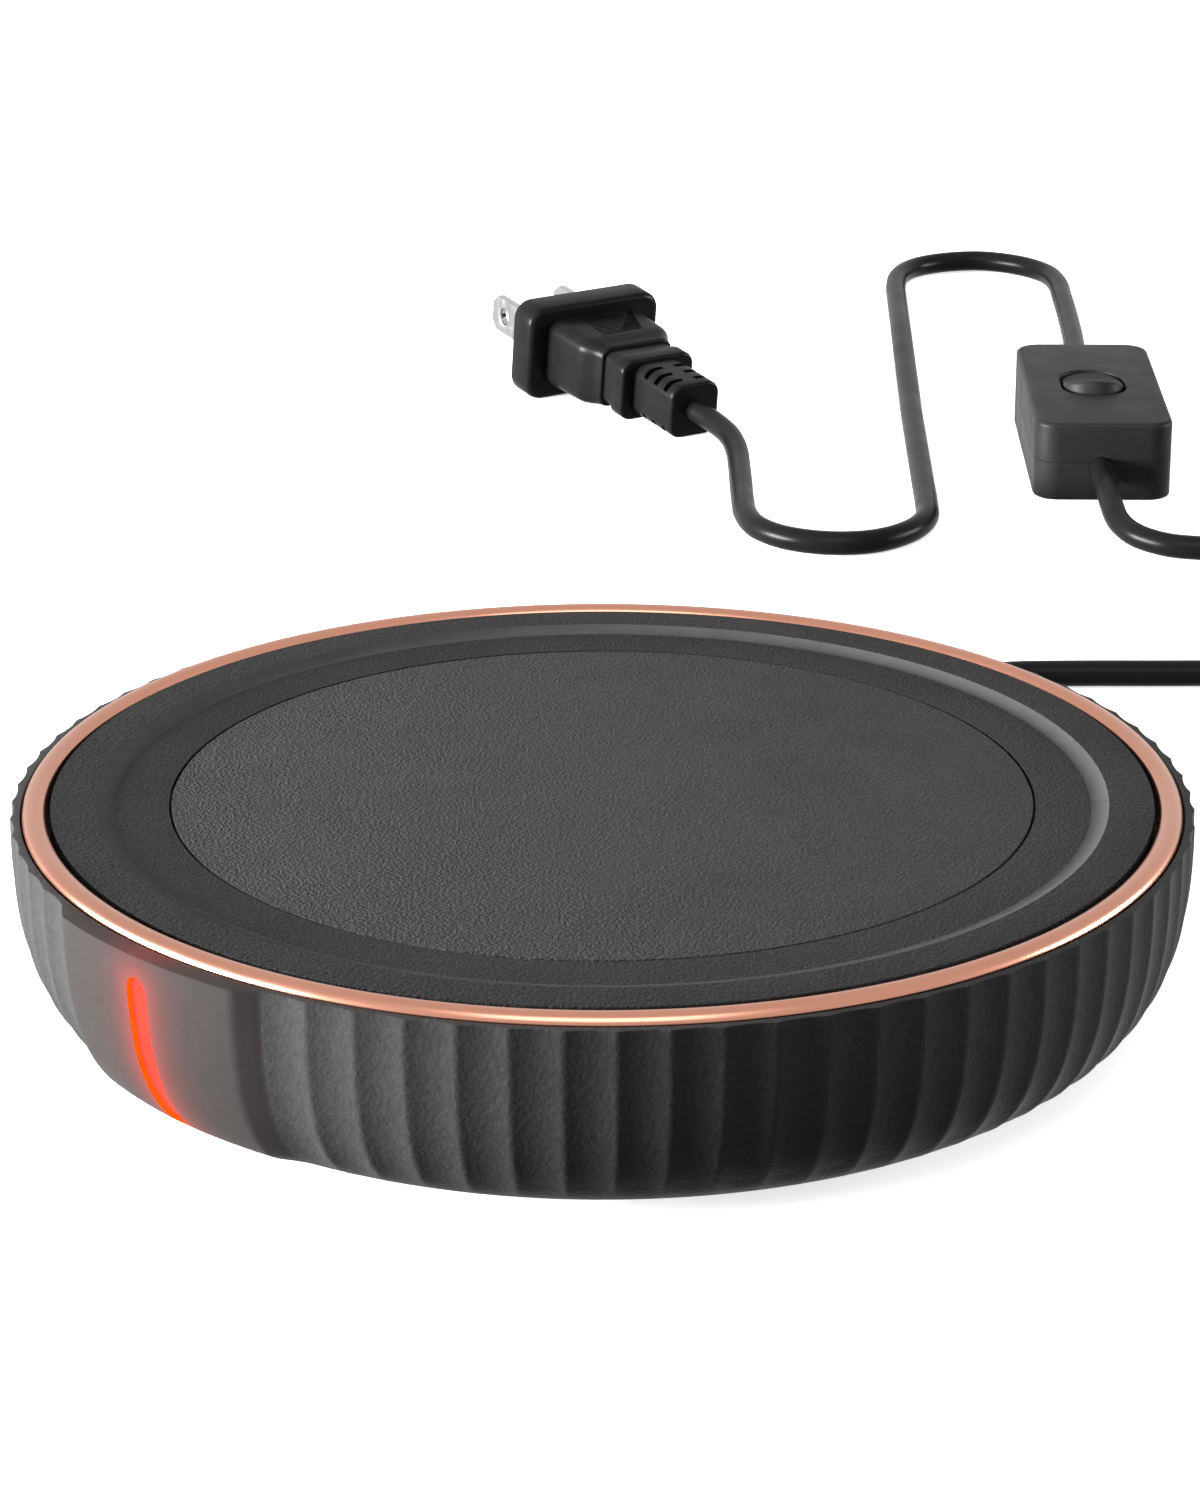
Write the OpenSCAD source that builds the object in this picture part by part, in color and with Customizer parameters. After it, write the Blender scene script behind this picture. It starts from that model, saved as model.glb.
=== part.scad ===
// Electric mug warmer: fluted bowl housing, heating plate in a shallow well, copper trim ring,
// a lit strip on the smooth front panel, and a mains lead with an inline rocker switch and a plug.
// Millimetres. The origin is at the middle of the base on the table, +Z is up, the panel faces -Y.

/* [Housing] */
// Radius to the tips of the ridges
body_r = 70; // [66:0.5:76]
// Height from the flat underside to the rim plane
body_h = 25.3; // [24:0.1:30]
// How far the rounded flank draws in by the underside
flank_w = 19.1; // [17:0.1:20]
// Squareness of the flank's curve, where 2 is an ellipse
flank_p = 2.87; // [2.5:0.01:3.2]
// Wall of the housing
wall = 2.6; // [2.2:0.1:3]
// Angle along the flank's curve at which the base cover takes over
split_a = 67; // [64:1:70]

/* [Flutes and panel] */
// Number of flute pitches in a full turn
flute_n = 77; // [60:1:90]
// Depth of a flute at its middle
flute_d = 0.4; // [0.2:0.05:0.6]
// Depth below the rim at which the flutes start to fade
fade_from = 20.5; // [17:0.1:21]
// Flute pitches that the smooth panel takes on each side of its middle
panel_k = 3; // [2:1:4]
// Share of its zone that the panel fills before it steps down to the first ridge
panel_fill = 0.83; // [0.7:0.01:0.9]
// How far the panel stands proud of the ridges at the rim
panel_rise = 1.3; // [0.8:0.1:1.6]

/* [Top] */
// Inner radius of the trim ring
ring_r = 65.6; // [64.6:0.1:65.8]
// Width of the trim ring
ring_w = 3; // [2.4:0.1:3.2]
// Height of the ring's crest above the rim plane
ring_crest = 1.1; // [0.9:0.1:1.8]
// Depth of the ring's seat below the rim plane
ring_seat = 2; // [1.6:0.1:2.4]
// Height of the top cover's flat border above the rim plane
border_rise = 0.7; // [0.4:0.1:1]
// Inner radius of the top cover's flat border
border_r = 59.9; // [59.4:0.1:61.5]
// Width of the shoulder that falls from the border to the floor of the well
shoulder_w = 2.1; // [1:0.1:2.4]
// Thickness of the top cover
cover_t = 1.6; // [1.4:0.1:2]

/* [Heating plate] */
// Radius of the plate's visible face
plate_r = 51; // [49:0.1:51.2]
// Seam between plate and top cover
plate_gap = 0.3; // [0.2:0.05:0.5]
// Width of the flange that holds the plate under the top cover
plate_lip = 2.4; // [1.8:0.1:2.5]
// Thickness of the flange
plate_lip_t = 1.2; // [1:0.1:1.5]
// Thickness of the gasket on the flange
gasket_t = 0.4; // [0.3:0.05:0.6]
// Radius of the mica sheets
mica_r = 38; // [34:0.5:39]
// Thickness of a mica sheet
mica_t = 0.4; // [0.3:0.05:0.6]
// Thickness of the insulation pad
pad_t = 3; // [2:0.1:4]
// Thickness of the clamp plate
clamp_t = 0.8; // [0.6:0.1:1.2]
// Turns of the resistance ribbon
ribbon_n = 6; // [4:1:8]

/* [Light] */
// Width of the lit strip
strip_w = 3.1; // [2.4:0.1:4]
// Depth of the strip's upper end below the rim plane
strip_top = 2.6; // [2:0.1:4]
// Depth of the strip's lower end below the rim plane
strip_end = 21.6; // [19:0.1:22]

/* [Base] */
// Thickness of the base cover
base_t = 2.2; // [2:0.1:2.8]
// Height of the feet below the base
foot_h = 1.3; // [1:0.1:2.5]
// Radius of a foot
foot_r = 5; // [4:0.1:6]
// Depth of the recess that a foot is stuck in
foot_sink = 0.8; // [0.5:0.1:1]
// Radius of the circle of feet
feet_r = 48; // [44:0.5:49]
// Radius of the circle of housing screws
screws_r = 55.8; // [55.6:0.1:56.2]
// Diameter of the housing screws' shanks
screw_d = 2.6; // [2.2:0.1:2.8]

/* [Mains lead] */
// Diameter of the lead
cord_d = 3.8; // [3.4:0.1:4]
// Height of the lead's exit above the table
exit_z = 9.5; // [9:0.1:10.5]
// Length of the bend relief outside the housing
relief_l = 25; // [20:1:30]
// Diameter of the bend relief at the housing
relief_d = 6.8; // [6.4:0.1:7.4]
// Diameter of the bend relief at its free end
relief_end_d = 5; // [4.6:0.1:5.4]

/* [Inline switch] */
// Width of the switch
switch_w = 22.5; // [21:0.5:24]
// Length of the switch
switch_l = 50; // [46:0.5:56]
// Height of the switch
switch_h = 13; // [12.4:0.1:14]
// Radius of the switch's upright corners
switch_corner = 4; // [3:0.1:5]
// Wall of the switch's covers
switch_wall = 1.6; // [1.4:0.1:1.8]
// Width of the rocker
rocker_w = 10.1; // [9.5:0.1:10.5]
// Length of the rocker
rocker_l = 13.9; // [13:0.1:14.5]
// Tilt of the rocker to each side
rocker_tilt = 9; // [7:0.5:10]

/* [Plug] */
// Width of the plug's face
plug_w = 26.5; // [25:0.1:28]
// Height of the plug's face
plug_h = 17; // [15:0.1:18]
// Thickness of the plug's face
plug_t = 6; // [5:0.1:7]
// Distance between the blades
blade_pitch = 12.7; // [12.7:0.1:12.7]
// Length of a blade
blade_l = 17; // [16:0.1:17.5]
// Width of a blade
blade_w = 6.4; // [6.2:0.1:6.6]
// Thickness of a blade
blade_t = 1.5; // [1.4:0.1:1.6]

/* [Hidden] */
$fn = 64;

fit = 0.2;                              // clearance between covers and walls
touch = 0.05;                           // clearance round a turning pin
hair = 0.01;                            // overrun of a cut past a face

base_z = foot_h;
rim_z = base_z + body_h;
border_z = rim_z + border_rise;
ring_out = ring_r + ring_w;
ring_z = rim_z - ring_seat;
plate_z = rim_z;                        // top of the heating plate
lip_z = plate_z - cover_t - gasket_t;   // top of the plate's flange
plate_under = lip_z - plate_lip_t;
mica_z = plate_under - mica_t;          // underside of the upper mica sheet
ribbon_t = 0.2;
ribbon_z = mica_z - ribbon_t;
mica2_z = ribbon_z - mica_t;
pad_z = mica2_z - pad_t;
clamp_z = pad_z - clamp_t;
stud_r = mica_r + 5;                    // circle of the three studs
clamp_r = stud_r + 4;
stud_d = 3;
nut_w = 5.5;
nut_t = 2.4;
pad_r = mica_r + 1;

// Flank of the housing: a superellipse quarter from the rim plane (angle 0) to the underside (90)
function flank_s(a) = body_h * pow(sin(a), 2 / flank_p);
function flank_x(a) = pow(cos(a), 2 / flank_p);
function flank_r(a) = body_r - flank_w * (1 - flank_x(a));
function flank_n(a) = let (nx = pow(flank_x(a), flank_p - 1) / flank_w,
                           nz = pow(flank_s(a) / body_h, flank_p - 1) / body_h,
                           l = norm([nx, nz])) [nx / l, -nz / l];
// Point on the flank in the plane of the axis, moved out by d
function flank(a, d = 0) = [flank_r(a), rim_z - flank_s(a)] + d * flank_n(a);
// Radius of the ridges at a height above the table
function ridge_r(z) = let (s = (rim_z - z) / body_h)
    body_r - flank_w * (1 - pow(1 - pow(s, flank_p), 1 / flank_p));

split = flank(split_a);
split_top = split[1] + 1.5;             // underside of the housing's lip, top of the cover's rim
lip_r = split[0] - 1.8;                 // inner radius of the housing's lip
lip_top = split_top + 1.2;
flange_r = body_r - wall - fit;         // outer radius of the top cover's flange
flange_t = 2;
flange_z = ring_z - flange_t;
seat_r = flange_r - 1.4;                // inner radius of the ledge that carries the top cover
seat_z = flange_z;
floor_z = base_z + base_t;

// ---- fluted housing -------------------------------------------------------------------------
pitch_a = 360 / flute_n;
per_flute = 4;
flank_steps = 7;
out_n = flute_n * per_flute;

// How much of the flute's depth is left at a depth below the rim
fade_to = rim_z - split[1] - 0.3;
function fade(s) = max(0, min(1, (fade_to - s) / (fade_to - fade_from)));
// Pitches from the middle of the panel, for column i
function from_panel(i) = let (k = i / per_flute) min(k, flute_n - k);
// Offset of column i along the flank's normal, at angle a
function flute_cut(i, a) = let (m = (i % per_flute) / per_flute)
    -flute_d * 4 * m * (1 - m) * fade(flank_s(a));
function panel_lift(a) = panel_rise * (1 - 0.4 * flank_s(a) / body_h) * fade(flank_s(a) * 0.97);
function column_lift(i, a) = let (k = from_panel(i) / panel_k)
    k < panel_fill ? panel_lift(a) : k < 1 ? panel_lift(a) * (1 - k) / (1 - panel_fill)
    : flute_cut(i, a);
// Columns of the panel's zone are drawn in so that one of them stands at the panel's edge
function column_k(i) = let (k = i / per_flute, s = k > flute_n / 2 ? k - flute_n : k,
                            e = panel_k - 1 / per_flute)
    abs(s) >= panel_k ? s : s * panel_fill * panel_k / e;
function at_turn(rz, t) = [rz[0] * sin(t), -rz[0] * cos(t), rz[1]];

outer_rows = [for (j = [0:flank_steps]) let (a = split_a * j / flank_steps)
    [for (i = [0:out_n - 1]) at_turn(flank(a, column_lift(i, a)), column_k(i) * pitch_a)]];
inner_flank = concat([for (j = [4:-1:2]) flank(split_a * j / 4, -wall)], [[seat_r, seat_z]]);
inner_line = concat([[split[0], split_top], [lip_r, split_top], [lip_r, lip_top]], inner_flank,
    [[flange_r + fit, seat_z], [flange_r + fit, ring_z],
     [ring_out + 0.15, ring_z], [ring_out + 0.15, rim_z]]);
inner_n = len(inner_line);
inner_rows = [for (p = inner_line) [for (k = [0:flute_n - 1]) at_turn(p, k * pitch_a)]];

// Faces of a band between two rows of n points each, the second row lower
function band(a, b, n) = [for (i = [0:n - 1]) let (j = (i + 1) % n)
    each [[a + i, a + j, b + i], [a + j, b + j, b + i]]];
// Faces between a row of n * m points and a row of n points
function zip(a, b, n, m) = [for (k = [0:n - 1]) let (q = (k + 1) % n)
    each concat([for (i = [0:m - 1])
        [a + k * m + i, a + (k * m + i + 1) % (n * m), i < m / 2 ? b + k : b + q]],
        [[a + k * m + m / 2, b + q, b + k]])];
function flip(f) = [for (t = f) [t[2], t[1], t[0]]];

module housing_shell() {
    inner_at = (flank_steps + 1) * out_n;
    polyhedron(
        points = concat([for (r = outer_rows) each r], [for (r = inner_rows) each r]),
        faces = concat(
            [for (j = [0:flank_steps - 1]) each band(j * out_n, (j + 1) * out_n, out_n)],
            zip(flank_steps * out_n, inner_at, flute_n, per_flute),
            [for (j = [0:inner_n - 2])
                each band(inner_at + j * flute_n, inner_at + (j + 1) * flute_n, flute_n)],
            flip(zip(0, inner_at + (inner_n - 1) * flute_n, flute_n, per_flute))));
}

// Prism with the strip's outline, its upper end round, from inside the housing out through the panel
slot_in = 14;                           // where the prism starts, inside the ridges
slot_out = 6;                           // how far it reaches outside them
lens_fit = 0.1;                         // clearance of the slot round the lens
module strip_prism(clear) {
    w = strip_w + 2 * clear;
    top = rim_z - strip_top + clear;
    low = rim_z - strip_end - clear;
    translate([0, slot_in - body_r, 0]) rotate([90, 0, 0]) linear_extrude(slot_in + slot_out) {
        translate([-w / 2, low]) square([w, top - w / 2 - low]);
        translate([0, top - w / 2]) circle(d = w);
    }
}

exit_turn = 203.4;                      // where the lead leaves, from the middle of the panel
neck_d = 5.6;
wall_r = ridge_r(exit_z);               // radius of the wall at the exit's height
relief_seat = wall_r - wall - 2.4;      // flat seat of the relief's inner flange
relief_flange_d = 8.4;
module at_exit(r, z) {
    rotate([0, 0, exit_turn]) translate([0, -r, z]) children();
}

module fluted_housing() color("#2b2b2d") difference() {
    housing_shell();
    strip_prism(lens_fit);
    around(screw_turns, screws_r, base_z) cylinder(d = boss_d + 2 * fit, h = post_z - base_z);
    at_exit(relief_seat - hair, exit_z) rotate([90, 0, 0])
        cylinder(d = neck_d + 2 * touch, h = body_r + slot_out - relief_seat);
    at_exit(relief_seat - 6, exit_z) rotate([90, 0, 0]) cylinder(d = relief_flange_d + 2 * touch, h = 6);
}

// ---- covers, ring and plate -------------------------------------------------------------------
screw_turns = [45, 135, 225, 315];
post_d = 4.4;
boss_d = post_d + 1.2;                  // bosses of the base cover under the posts
post_z = 9;                             // where the cover's posts meet the base's bosses
head_d = 4.6;
head_sink = 2.6;
foot_turns = [0, 90, 180, 270];
vent_n = 12;
vent_r = 26;
vent_l = 12;
vent_w = 2.4;
module around(turns, r, z) {
    for (t = turns) rotate([0, 0, t]) translate([0, -r, z]) children();
}

module base_cover() color("#242426") difference() {
    union() {
        rotate_extrude($fn = 128) polygon(concat(
            [[0, floor_z], [0, base_z]],
            [for (a = [90:-(90 - split_a) / 4:split_a + 1]) flank(a)],
            [split - [fit, 0], [split[0] - fit, split_top], [lip_r - fit, split_top],
             [lip_r - 1.2, floor_z]]));
        around(screw_turns, screws_r, base_z + 1) cylinder(d = boss_d, h = post_z - base_z - 1);
        at_exit(clamp_at, base_z + 1) clamp_bosses();
        around([0], board_r, base_z + 1) board_posts();
        translate([block_x, block_y, base_z + 1]) cylinder(d = 4, h = block_z - base_z - 1);
    }
    around(screw_turns, screws_r, base_z - hair) {
        cylinder(d = head_d + 2 * fit, h = head_sink + hair);
        cylinder(d = screw_d + 2 * fit, h = post_z);
    }
    around(foot_turns, feet_r, base_z - hair) cylinder(r = foot_r + 0.1, h = foot_sink + hair);
    for (t = [0:360 / vent_n:359]) rotate([0, 0, t]) translate([0, vent_r, base_z - 1]) {
        round_slot(vent_w, vent_l, base_t + 2);
    }
}
// Round-ended slot of width w and length l along Y
module round_slot(w, l, h) {
    translate([-w / 2, -l / 2 + w / 2, 0]) cube([w, l - w, h]);
    for (s = [-1, 1]) translate([0, s * (l - w) / 2, 0]) cylinder(d = w, h = h);
}

// Smooth step from 0 to 1
function ease(t) = t * t * (3 - 2 * t);
module top_cover() color("#3a3a3c") difference() {
    r0 = plate_r + plate_gap;
    union() {
        rotate_extrude($fn = 128) polygon(concat(
            [[r0, rim_z - cover_t], [r0, rim_z], [border_r - shoulder_w, rim_z]],
            [for (k = [1:7]) [border_r + shoulder_w * (k / 7 - 1), rim_z + border_rise * ease(k / 7)]],
            [[ring_r - 0.4, border_z], [ring_r - 0.1, border_z - 0.3], [ring_r - 0.1, ring_z],
             [flange_r, ring_z], [flange_r, flange_z], [ring_r - 2.4, flange_z],
             [ring_r - 2.4, rim_z - cover_t]]));
        around(screw_turns, screws_r, post_z) cylinder(d = post_d, h = rim_z - cover_t - post_z + 0.5);
    }
    around(screw_turns, screws_r, post_z - hair) cylinder(d = screw_d, h = 10);
}

module trim_ring() color("#c98a6b") rotate_extrude($fn = 128) {
    c = ring_w / 2;
    drop = ring_seat + ring_crest;
    bead = 1.5;                         // height of the bead's curve
    translate([ring_r, ring_z]) polygon(concat([[0, 0], [ring_w, 0]],
        [for (a = [0:15:180]) [c + c * cos(a), drop - bead + bead * sin(a)]]));
}

module heating_plate() color("#4a4a4c") union() {
    translate([0, 0, lip_z - 0.1]) cylinder(r = plate_r, h = plate_z - lip_z + 0.1, $fn = 128);
    translate([0, 0, plate_under]) cylinder(r = plate_r + plate_lip, h = plate_lip_t, $fn = 128);
}
module washer(ro, ri, z, h) {
    translate([0, 0, z]) difference() {
        cylinder(r = ro, h = h, $fn = 128);
        translate([0, 0, -1]) cylinder(r = ri, h = h + 2, $fn = 128);
    }
}
module plate_gasket() color("#8a3a2a")
    washer(plate_r + plate_lip - 0.1, plate_r + plate_gap + 0.1, lip_z, gasket_t);

stud_turns = [60, 180, 300];
stud_drop = 1.2;
module plate_studs() color("silver")
    around(stud_turns, stud_r, clamp_z - nut_t - stud_drop)
        cylinder(d = stud_d, h = plate_under - clamp_z + nut_t + stud_drop);
module stud_nuts() color("#9a9a9a") around(stud_turns, stud_r, clamp_z - nut_t) difference() {
    cylinder(d = nut_w / cos(30), h = nut_t, $fn = 6);
    translate([0, 0, -1]) cylinder(d = stud_d + 2 * touch, h = nut_t + 2);
}
module mica(z) {
    color("#b9a06a") translate([0, 0, z]) cylinder(r = mica_r, h = mica_t, $fn = 96);
}
module upper_mica_sheet() mica(mica_z);
module lower_mica_sheet() mica(mica2_z);

// Flat ribbon in rings, each open at one side and joined to the next
ribbon_w = 2;
ribbon_step = (mica_r - 8) / ribbon_n;
module resistance_ribbon() color("#b8b8b0") translate([0, 0, ribbon_z]) linear_extrude(ribbon_t) {
    for (i = [1:ribbon_n]) difference() {
        r = 4 + i * ribbon_step;
        circle(r = r);
        circle(r = r - ribbon_w);
        translate([i % 2 == 0 ? 0 : -2 * r, -2]) square([2 * r, 4]);
    }
    for (i = [1:ribbon_n - 1]) translate([i % 2 == 0 ? 4 + i * ribbon_step - ribbon_w
                                          : -(4 + (i + 1) * ribbon_step), 2])
        square([ribbon_step + ribbon_w, ribbon_w]);
}
module insulation_pad() color("#d8d4c8") translate([0, 0, pad_z])
    cylinder(r = pad_r, h = pad_t, $fn = 96);

module clamp_plate() color("#a8aaac") difference() {
    translate([0, 0, clamp_z]) union() {
        cylinder(r = pad_r - 2, h = clamp_t, $fn = 96);
        around(stud_turns, stud_r, 0) cylinder(r = clamp_r - stud_r, h = clamp_t);
        around(stud_turns, stud_r / 2, 0)
            translate([stud_r - clamp_r, -stud_r / 2, 0]) cube([8, stud_r, clamp_t]);
    }
    around(stud_turns, stud_r, clamp_z - 1) cylinder(d = stud_d + 2 * fit, h = clamp_t + 2);
}

// Snap-disc thermostat under the clamp plate, with its bracket ring and two blade terminals
stat_r = 8;
stat_h = 6;
module thermostat() color("#2a2420") translate([0, 0, clamp_z]) {
    translate([0, 0, -1]) cylinder(r = stat_r + 2.5, h = 1);
    translate([0, 0, -1 - stat_h]) cylinder(r = stat_r, h = stat_h + 0.1);
    for (s = [-1, 1]) translate([s * 4 - 1.6, -0.4, -1 - stat_h - 2]) cube([3.2, 0.8, 2.1]);
}
// Thermal fuse held against the clamp plate by a strap
fuse_y = 22;
fuse_d = 4;
fuse_l = 11;
fuse_lead_d = 0.9;
fuse_lead_l = 24;
module thermal_fuse() color("#d8d8d8") translate([0, fuse_y, clamp_z - fuse_d / 2]) {
    rotate([0, 90, 0]) cylinder(d = fuse_d, h = fuse_l, center = true);
    rotate([0, 90, 0]) cylinder(d = fuse_lead_d, h = fuse_lead_l, center = true);
}
module fuse_strap() color("#a8aaac") translate([0, fuse_y, clamp_z]) {
    t = 0.5;
    difference() {
        translate([-2, -fuse_d / 2 - t - fit, -fuse_d - t - fit])
            cube([4, fuse_d + 2 * (t + fit), fuse_d + t + fit]);
        translate([-3, -fuse_d / 2 - fit, -fuse_d - fit]) cube([6, fuse_d + 2 * fit, fuse_d + 1]);
    }
    for (s = [-1, 1]) translate([-2, s * (fuse_d / 2 + t + fit + 1.9) - 2, -t]) cube([4, 4, t]);
}

// ---- lit strip ----------------------------------------------------------------------------------
board_in = 15;                          // the light board's place behind the panel, inside the ridges
board_r = body_r - board_in;
board_t = 1.2;
board_w = 14;
board_low = 7;
board_top = 19;
led_n = 3;

// The lens fills the slot: a band of the flank cut to the strip's outline
module strip_lens() color("#ff4a36") intersection() {
    strip_prism(0);
    rotate([0, 0, -94]) rotate_extrude(angle = 8, $fn = 128) polygon(concat(
        [for (a = [0:7:63]) flank(a, panel_lift(a) - 0.15)],
        [for (a = [63:-7:0]) flank(a, 0.2 - wall)]));
}
// Frame behind the lens that holds it and shields its light
module lens_holder() color("#1c1c1e") difference() {
    intersection() {
        translate([-4, -body_r, board_low]) cube([8, body_r - board_r - board_t, board_top - board_low]);
        rotate([0, 0, -98]) rotate_extrude(angle = 16, $fn = 128) polygon(concat(
            [for (q = inner_flank) q - [0.4, 0]], [[board_r - 5, rim_z], [board_r - 5, base_z]]));
    }
    translate([-strip_w / 2, -body_r, board_low + 1.2])
        cube([strip_w, body_r, board_top - board_low - 2.4]);
}
module light_board() color("#1f5a35")
    translate([-board_w / 2, -board_r - board_t, board_low - 1])
        cube([board_w, board_t, board_top - board_low + 2]);
module light_leds() color("#f6efe0") for (i = [0:led_n - 1])
    translate([-1, -board_r - board_t - 1, board_low + 2 + i * 3.4]) cube([2, 1, 1.6]);
// Slotted posts on the base cover that the board stands in
module board_posts() for (s = [-1, 1]) translate([s * (board_w / 2 + 0.1) - 1.5, 0, 0]) difference() {
    translate([0, -board_t - 1.2, 0]) cube([3, board_t + 2.4, board_low + 4 - base_z - 1]);
    translate([-hair, -board_t - touch, board_low - 1 - base_z - 1])
        cube([3 + 2 * hair, board_t + 2 * touch, board_top - board_low]);
}

// ---- wiring and lead entry ------------------------------------------------------------------------
clamp_in = 16;                          // the lead's clamp, inside the ridges
clamp_at = body_r - clamp_in;
clamp_w = 14;
clamp_l = 6;
clamp_bar_t = 2;
clamp_pitch = 9.4;

module clamp_bosses() for (s = [-1, 1]) translate([s * clamp_pitch / 2, 0, 0])
    cylinder(d = 4.4, h = exit_z + cord_d / 2 - base_z - 1);
module lead_clamp() color("#d8d4c8")
    at_exit(clamp_at, exit_z + cord_d / 2) difference() {
        translate([-clamp_w / 2, -clamp_l / 2, 0]) cube([clamp_w, clamp_l, clamp_bar_t]);
        for (s = [-1, 1]) translate([s * clamp_pitch / 2, 0, -1])
            cylinder(d = 2.2, h = clamp_bar_t + 2);
    }
module clamp_screws() color("silver")
    at_exit(clamp_at, exit_z + cord_d / 2 + clamp_bar_t)
        for (s = [-1, 1]) translate([s * clamp_pitch / 2, 0, 0]) {
            cylinder(d = 3.8, h = 1.2);
            translate([0, 0, -clamp_bar_t]) cylinder(d = 2, h = clamp_bar_t + 0.1);
        }

// Moulded bend relief: flange inside the wall, neck through it, tapered and grooved outside
relief_groove = 0.8;
relief_n = 4;
relief_from = ridge_r(exit_z + relief_d / 2) + 0.3;
relief_tip = wall_r + relief_l;
relief_step = (relief_tip - relief_from) / (relief_n + 1.5);
relief_bore_end = relief_tip - 5;
function relief_r(z) = relief_d / 2
    - (relief_d - relief_end_d) / 2 * (z - relief_from) / (relief_tip - relief_from);
module bend_relief() color("#1d1d1f") at_exit(0, exit_z) rotate([90, 0, 0]) difference() {
    rotate_extrude() polygon(concat(
        [[0, relief_seat - 1.6], [relief_flange_d / 2, relief_seat - 1.6],
         [relief_flange_d / 2, relief_seat], [neck_d / 2, relief_seat],
         [neck_d / 2, relief_from], [relief_d / 2, relief_from]],
        [for (i = [1:relief_n]) each let (z = i * relief_step + relief_from, w = relief_step * 0.2)
            [[relief_r(z - w), z - w], [relief_r(z) - relief_groove, z - w],
             [relief_r(z) - relief_groove, z + w], [relief_r(z + w), z + w]]],
        [[relief_end_d / 2, relief_tip], [0, relief_tip]]));
    cylinder(d = cord_d, h = relief_bore_end);
}
// The lead's sheath inside, from the clamp to the bore of the relief
module lead_tail() color("#202022") at_exit(clamp_at - clamp_l / 2 - 2, exit_z) rotate([90, 0, 0])
    cylinder(d = cord_d, h = relief_bore_end - clamp_at + clamp_l / 2 + 2);

block_x = 22;
block_y = 20;
block_z = 4.4;
block_w = 20;
block_l = 11;
block_h = 8;
module terminal_block() color("#e8e4da") translate([block_x, block_y, block_z]) difference() {
    translate([-block_w / 2, -block_l / 2, 0]) cube([block_w, block_l, block_h]);
    for (s = [-1, 1]) translate([s * block_w / 4, 0, 0]) {
        translate([0, 0, block_h / 2]) cylinder(d = 3.4, h = block_h);
        translate([0, -block_l, block_h / 2]) rotate([-90, 0, 0]) cylinder(d = 2.6, h = 2 * block_l);
    }
}

// Sweep of a round section with n sides along a list of points
function unit(v) = v / norm(v);
function heading(p, i) = unit(p[min(i + 1, len(p) - 1)] - p[max(i - 1, 0)]);
function ring_at(p, i, d, n) = let (h = heading(p, i), x = unit(cross(h, [0, 0, 1])), y = cross(x, h))
    [for (k = [0:n - 1]) p[i] + d / 2 * (x * cos(360 * (k + 0.5) / n) + y * sin(360 * (k + 0.5) / n))];
module tube(p, d, n = 8) {
    last = (len(p) - 1) * n;
    polyhedron(
        points = [for (i = [0:len(p) - 1]) each ring_at(p, i, d, n)],
        faces = concat([[for (k = [n - 1:-1:0]) k]],
            [for (i = [0:len(p) - 2]) each band(i * n, (i + 1) * n, n)],
            [[for (k = [0:n - 1]) last + k]]));
}
lead_d = 1.8;
inner_leads = [
    [[-20.5, 44, 9.5], [-12, 32, 9], [-2, 18, 8.4], [8, 8, 8.4], [15, 7, 8.4], [17, 10, 8.4],
     [17, 18, 8.4]],
    [[-18.5, 44, 9.5], [-8, 33, 9.6], [6, 20, 10.4], [10, 8, 10.4], [22, 4, 9], [27, 8, 8.4],
     [27, 18, 8.4]],
    [[17, 22, 8.4], [17, 29, 8.4], [12, 33, 8.4], [2, 28, 8.4], [-6, 14, 8.4], [-4, 0, 8.4]],
    [[27, 22, 8.4], [27, 29, 8.4], [24, 36, 10], [16, 36, 12], [10, 30, 13], [8, 24, 13.4]],
    [[4, 0, 8.4], [5, -12, 8.4], [4, -30, 9], [3, -44, 10], [2, -52, 11], [1.5, -53.6, 11]]];
module internal_leads() color("#c8302a") for (p = inner_leads) tube(p, lead_d, 6);

module rubber_feet() color("#141414")
    around(foot_turns, feet_r, 0) cylinder(r = foot_r, h = foot_h + foot_sink);
head_t = 2;
slot_depth = 1;                         // depth of the cross in the head
shank_l = 12.5;
module housing_screws() color("silver") around(screw_turns, screws_r, base_z + head_sink - head_t) {
    difference() {
        cylinder(d = head_d, h = head_t);
        for (q = [0, 90]) rotate([0, 0, q]) translate([-1.3, -0.3, -1]) cube([2.6, 0.6, 1 + slot_depth]);
    }
    translate([0, 0, (slot_depth + head_t) / 2]) cylinder(d = screw_d, h = shank_l);
}

// ---- lead, coil and tie ----------------------------------------------------------------------------
// The lead's pieces lie in a layout of their own, turned about +Z
lay_turn = 45.5;
cord_z = 2;
module layout() {
    rotate([0, 0, lay_turn]) children();
}
exit_h = exit_turn - lay_turn;
lead_start = [relief_tip * sin(exit_h), -relief_tip * cos(exit_h), exit_z];
coil_x = 131;
coil_y = 141.5;
coil_out = 29.6;
coil_in = 17.4;
coil_h = 8.2;
warmer_route = [lead_start, [37, 91.2, 9.1], [39.5, 96.8, 7.6], [42.8, 102.2, 5.4], [47.4, 106.9, 3],
    [53.5, 110.3, 2.2], [60.5, 112, 2], [70, 112.3, 2], [80, 112.3, 2], [90, 112.4, 2],
    [100, 112.6, 2], [109, 113.1, 2], [118, 113.7, 2], [126, 114.2, 2]];
switch_route = [[126, 168.8, 2], [118, 169.5, 2], [110, 170.3, 2], [102, 171.1, 2], [94, 171.5, 2],
    [88.6, 173, 2.1], [84.6, 176.6, 2.4], [82.4, 181.6, 3], [81.7, 187, 4], [81.6, 193, 5],
    [81.6, 198, 5.4], [81.6, 204.6, 5.5]];

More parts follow.
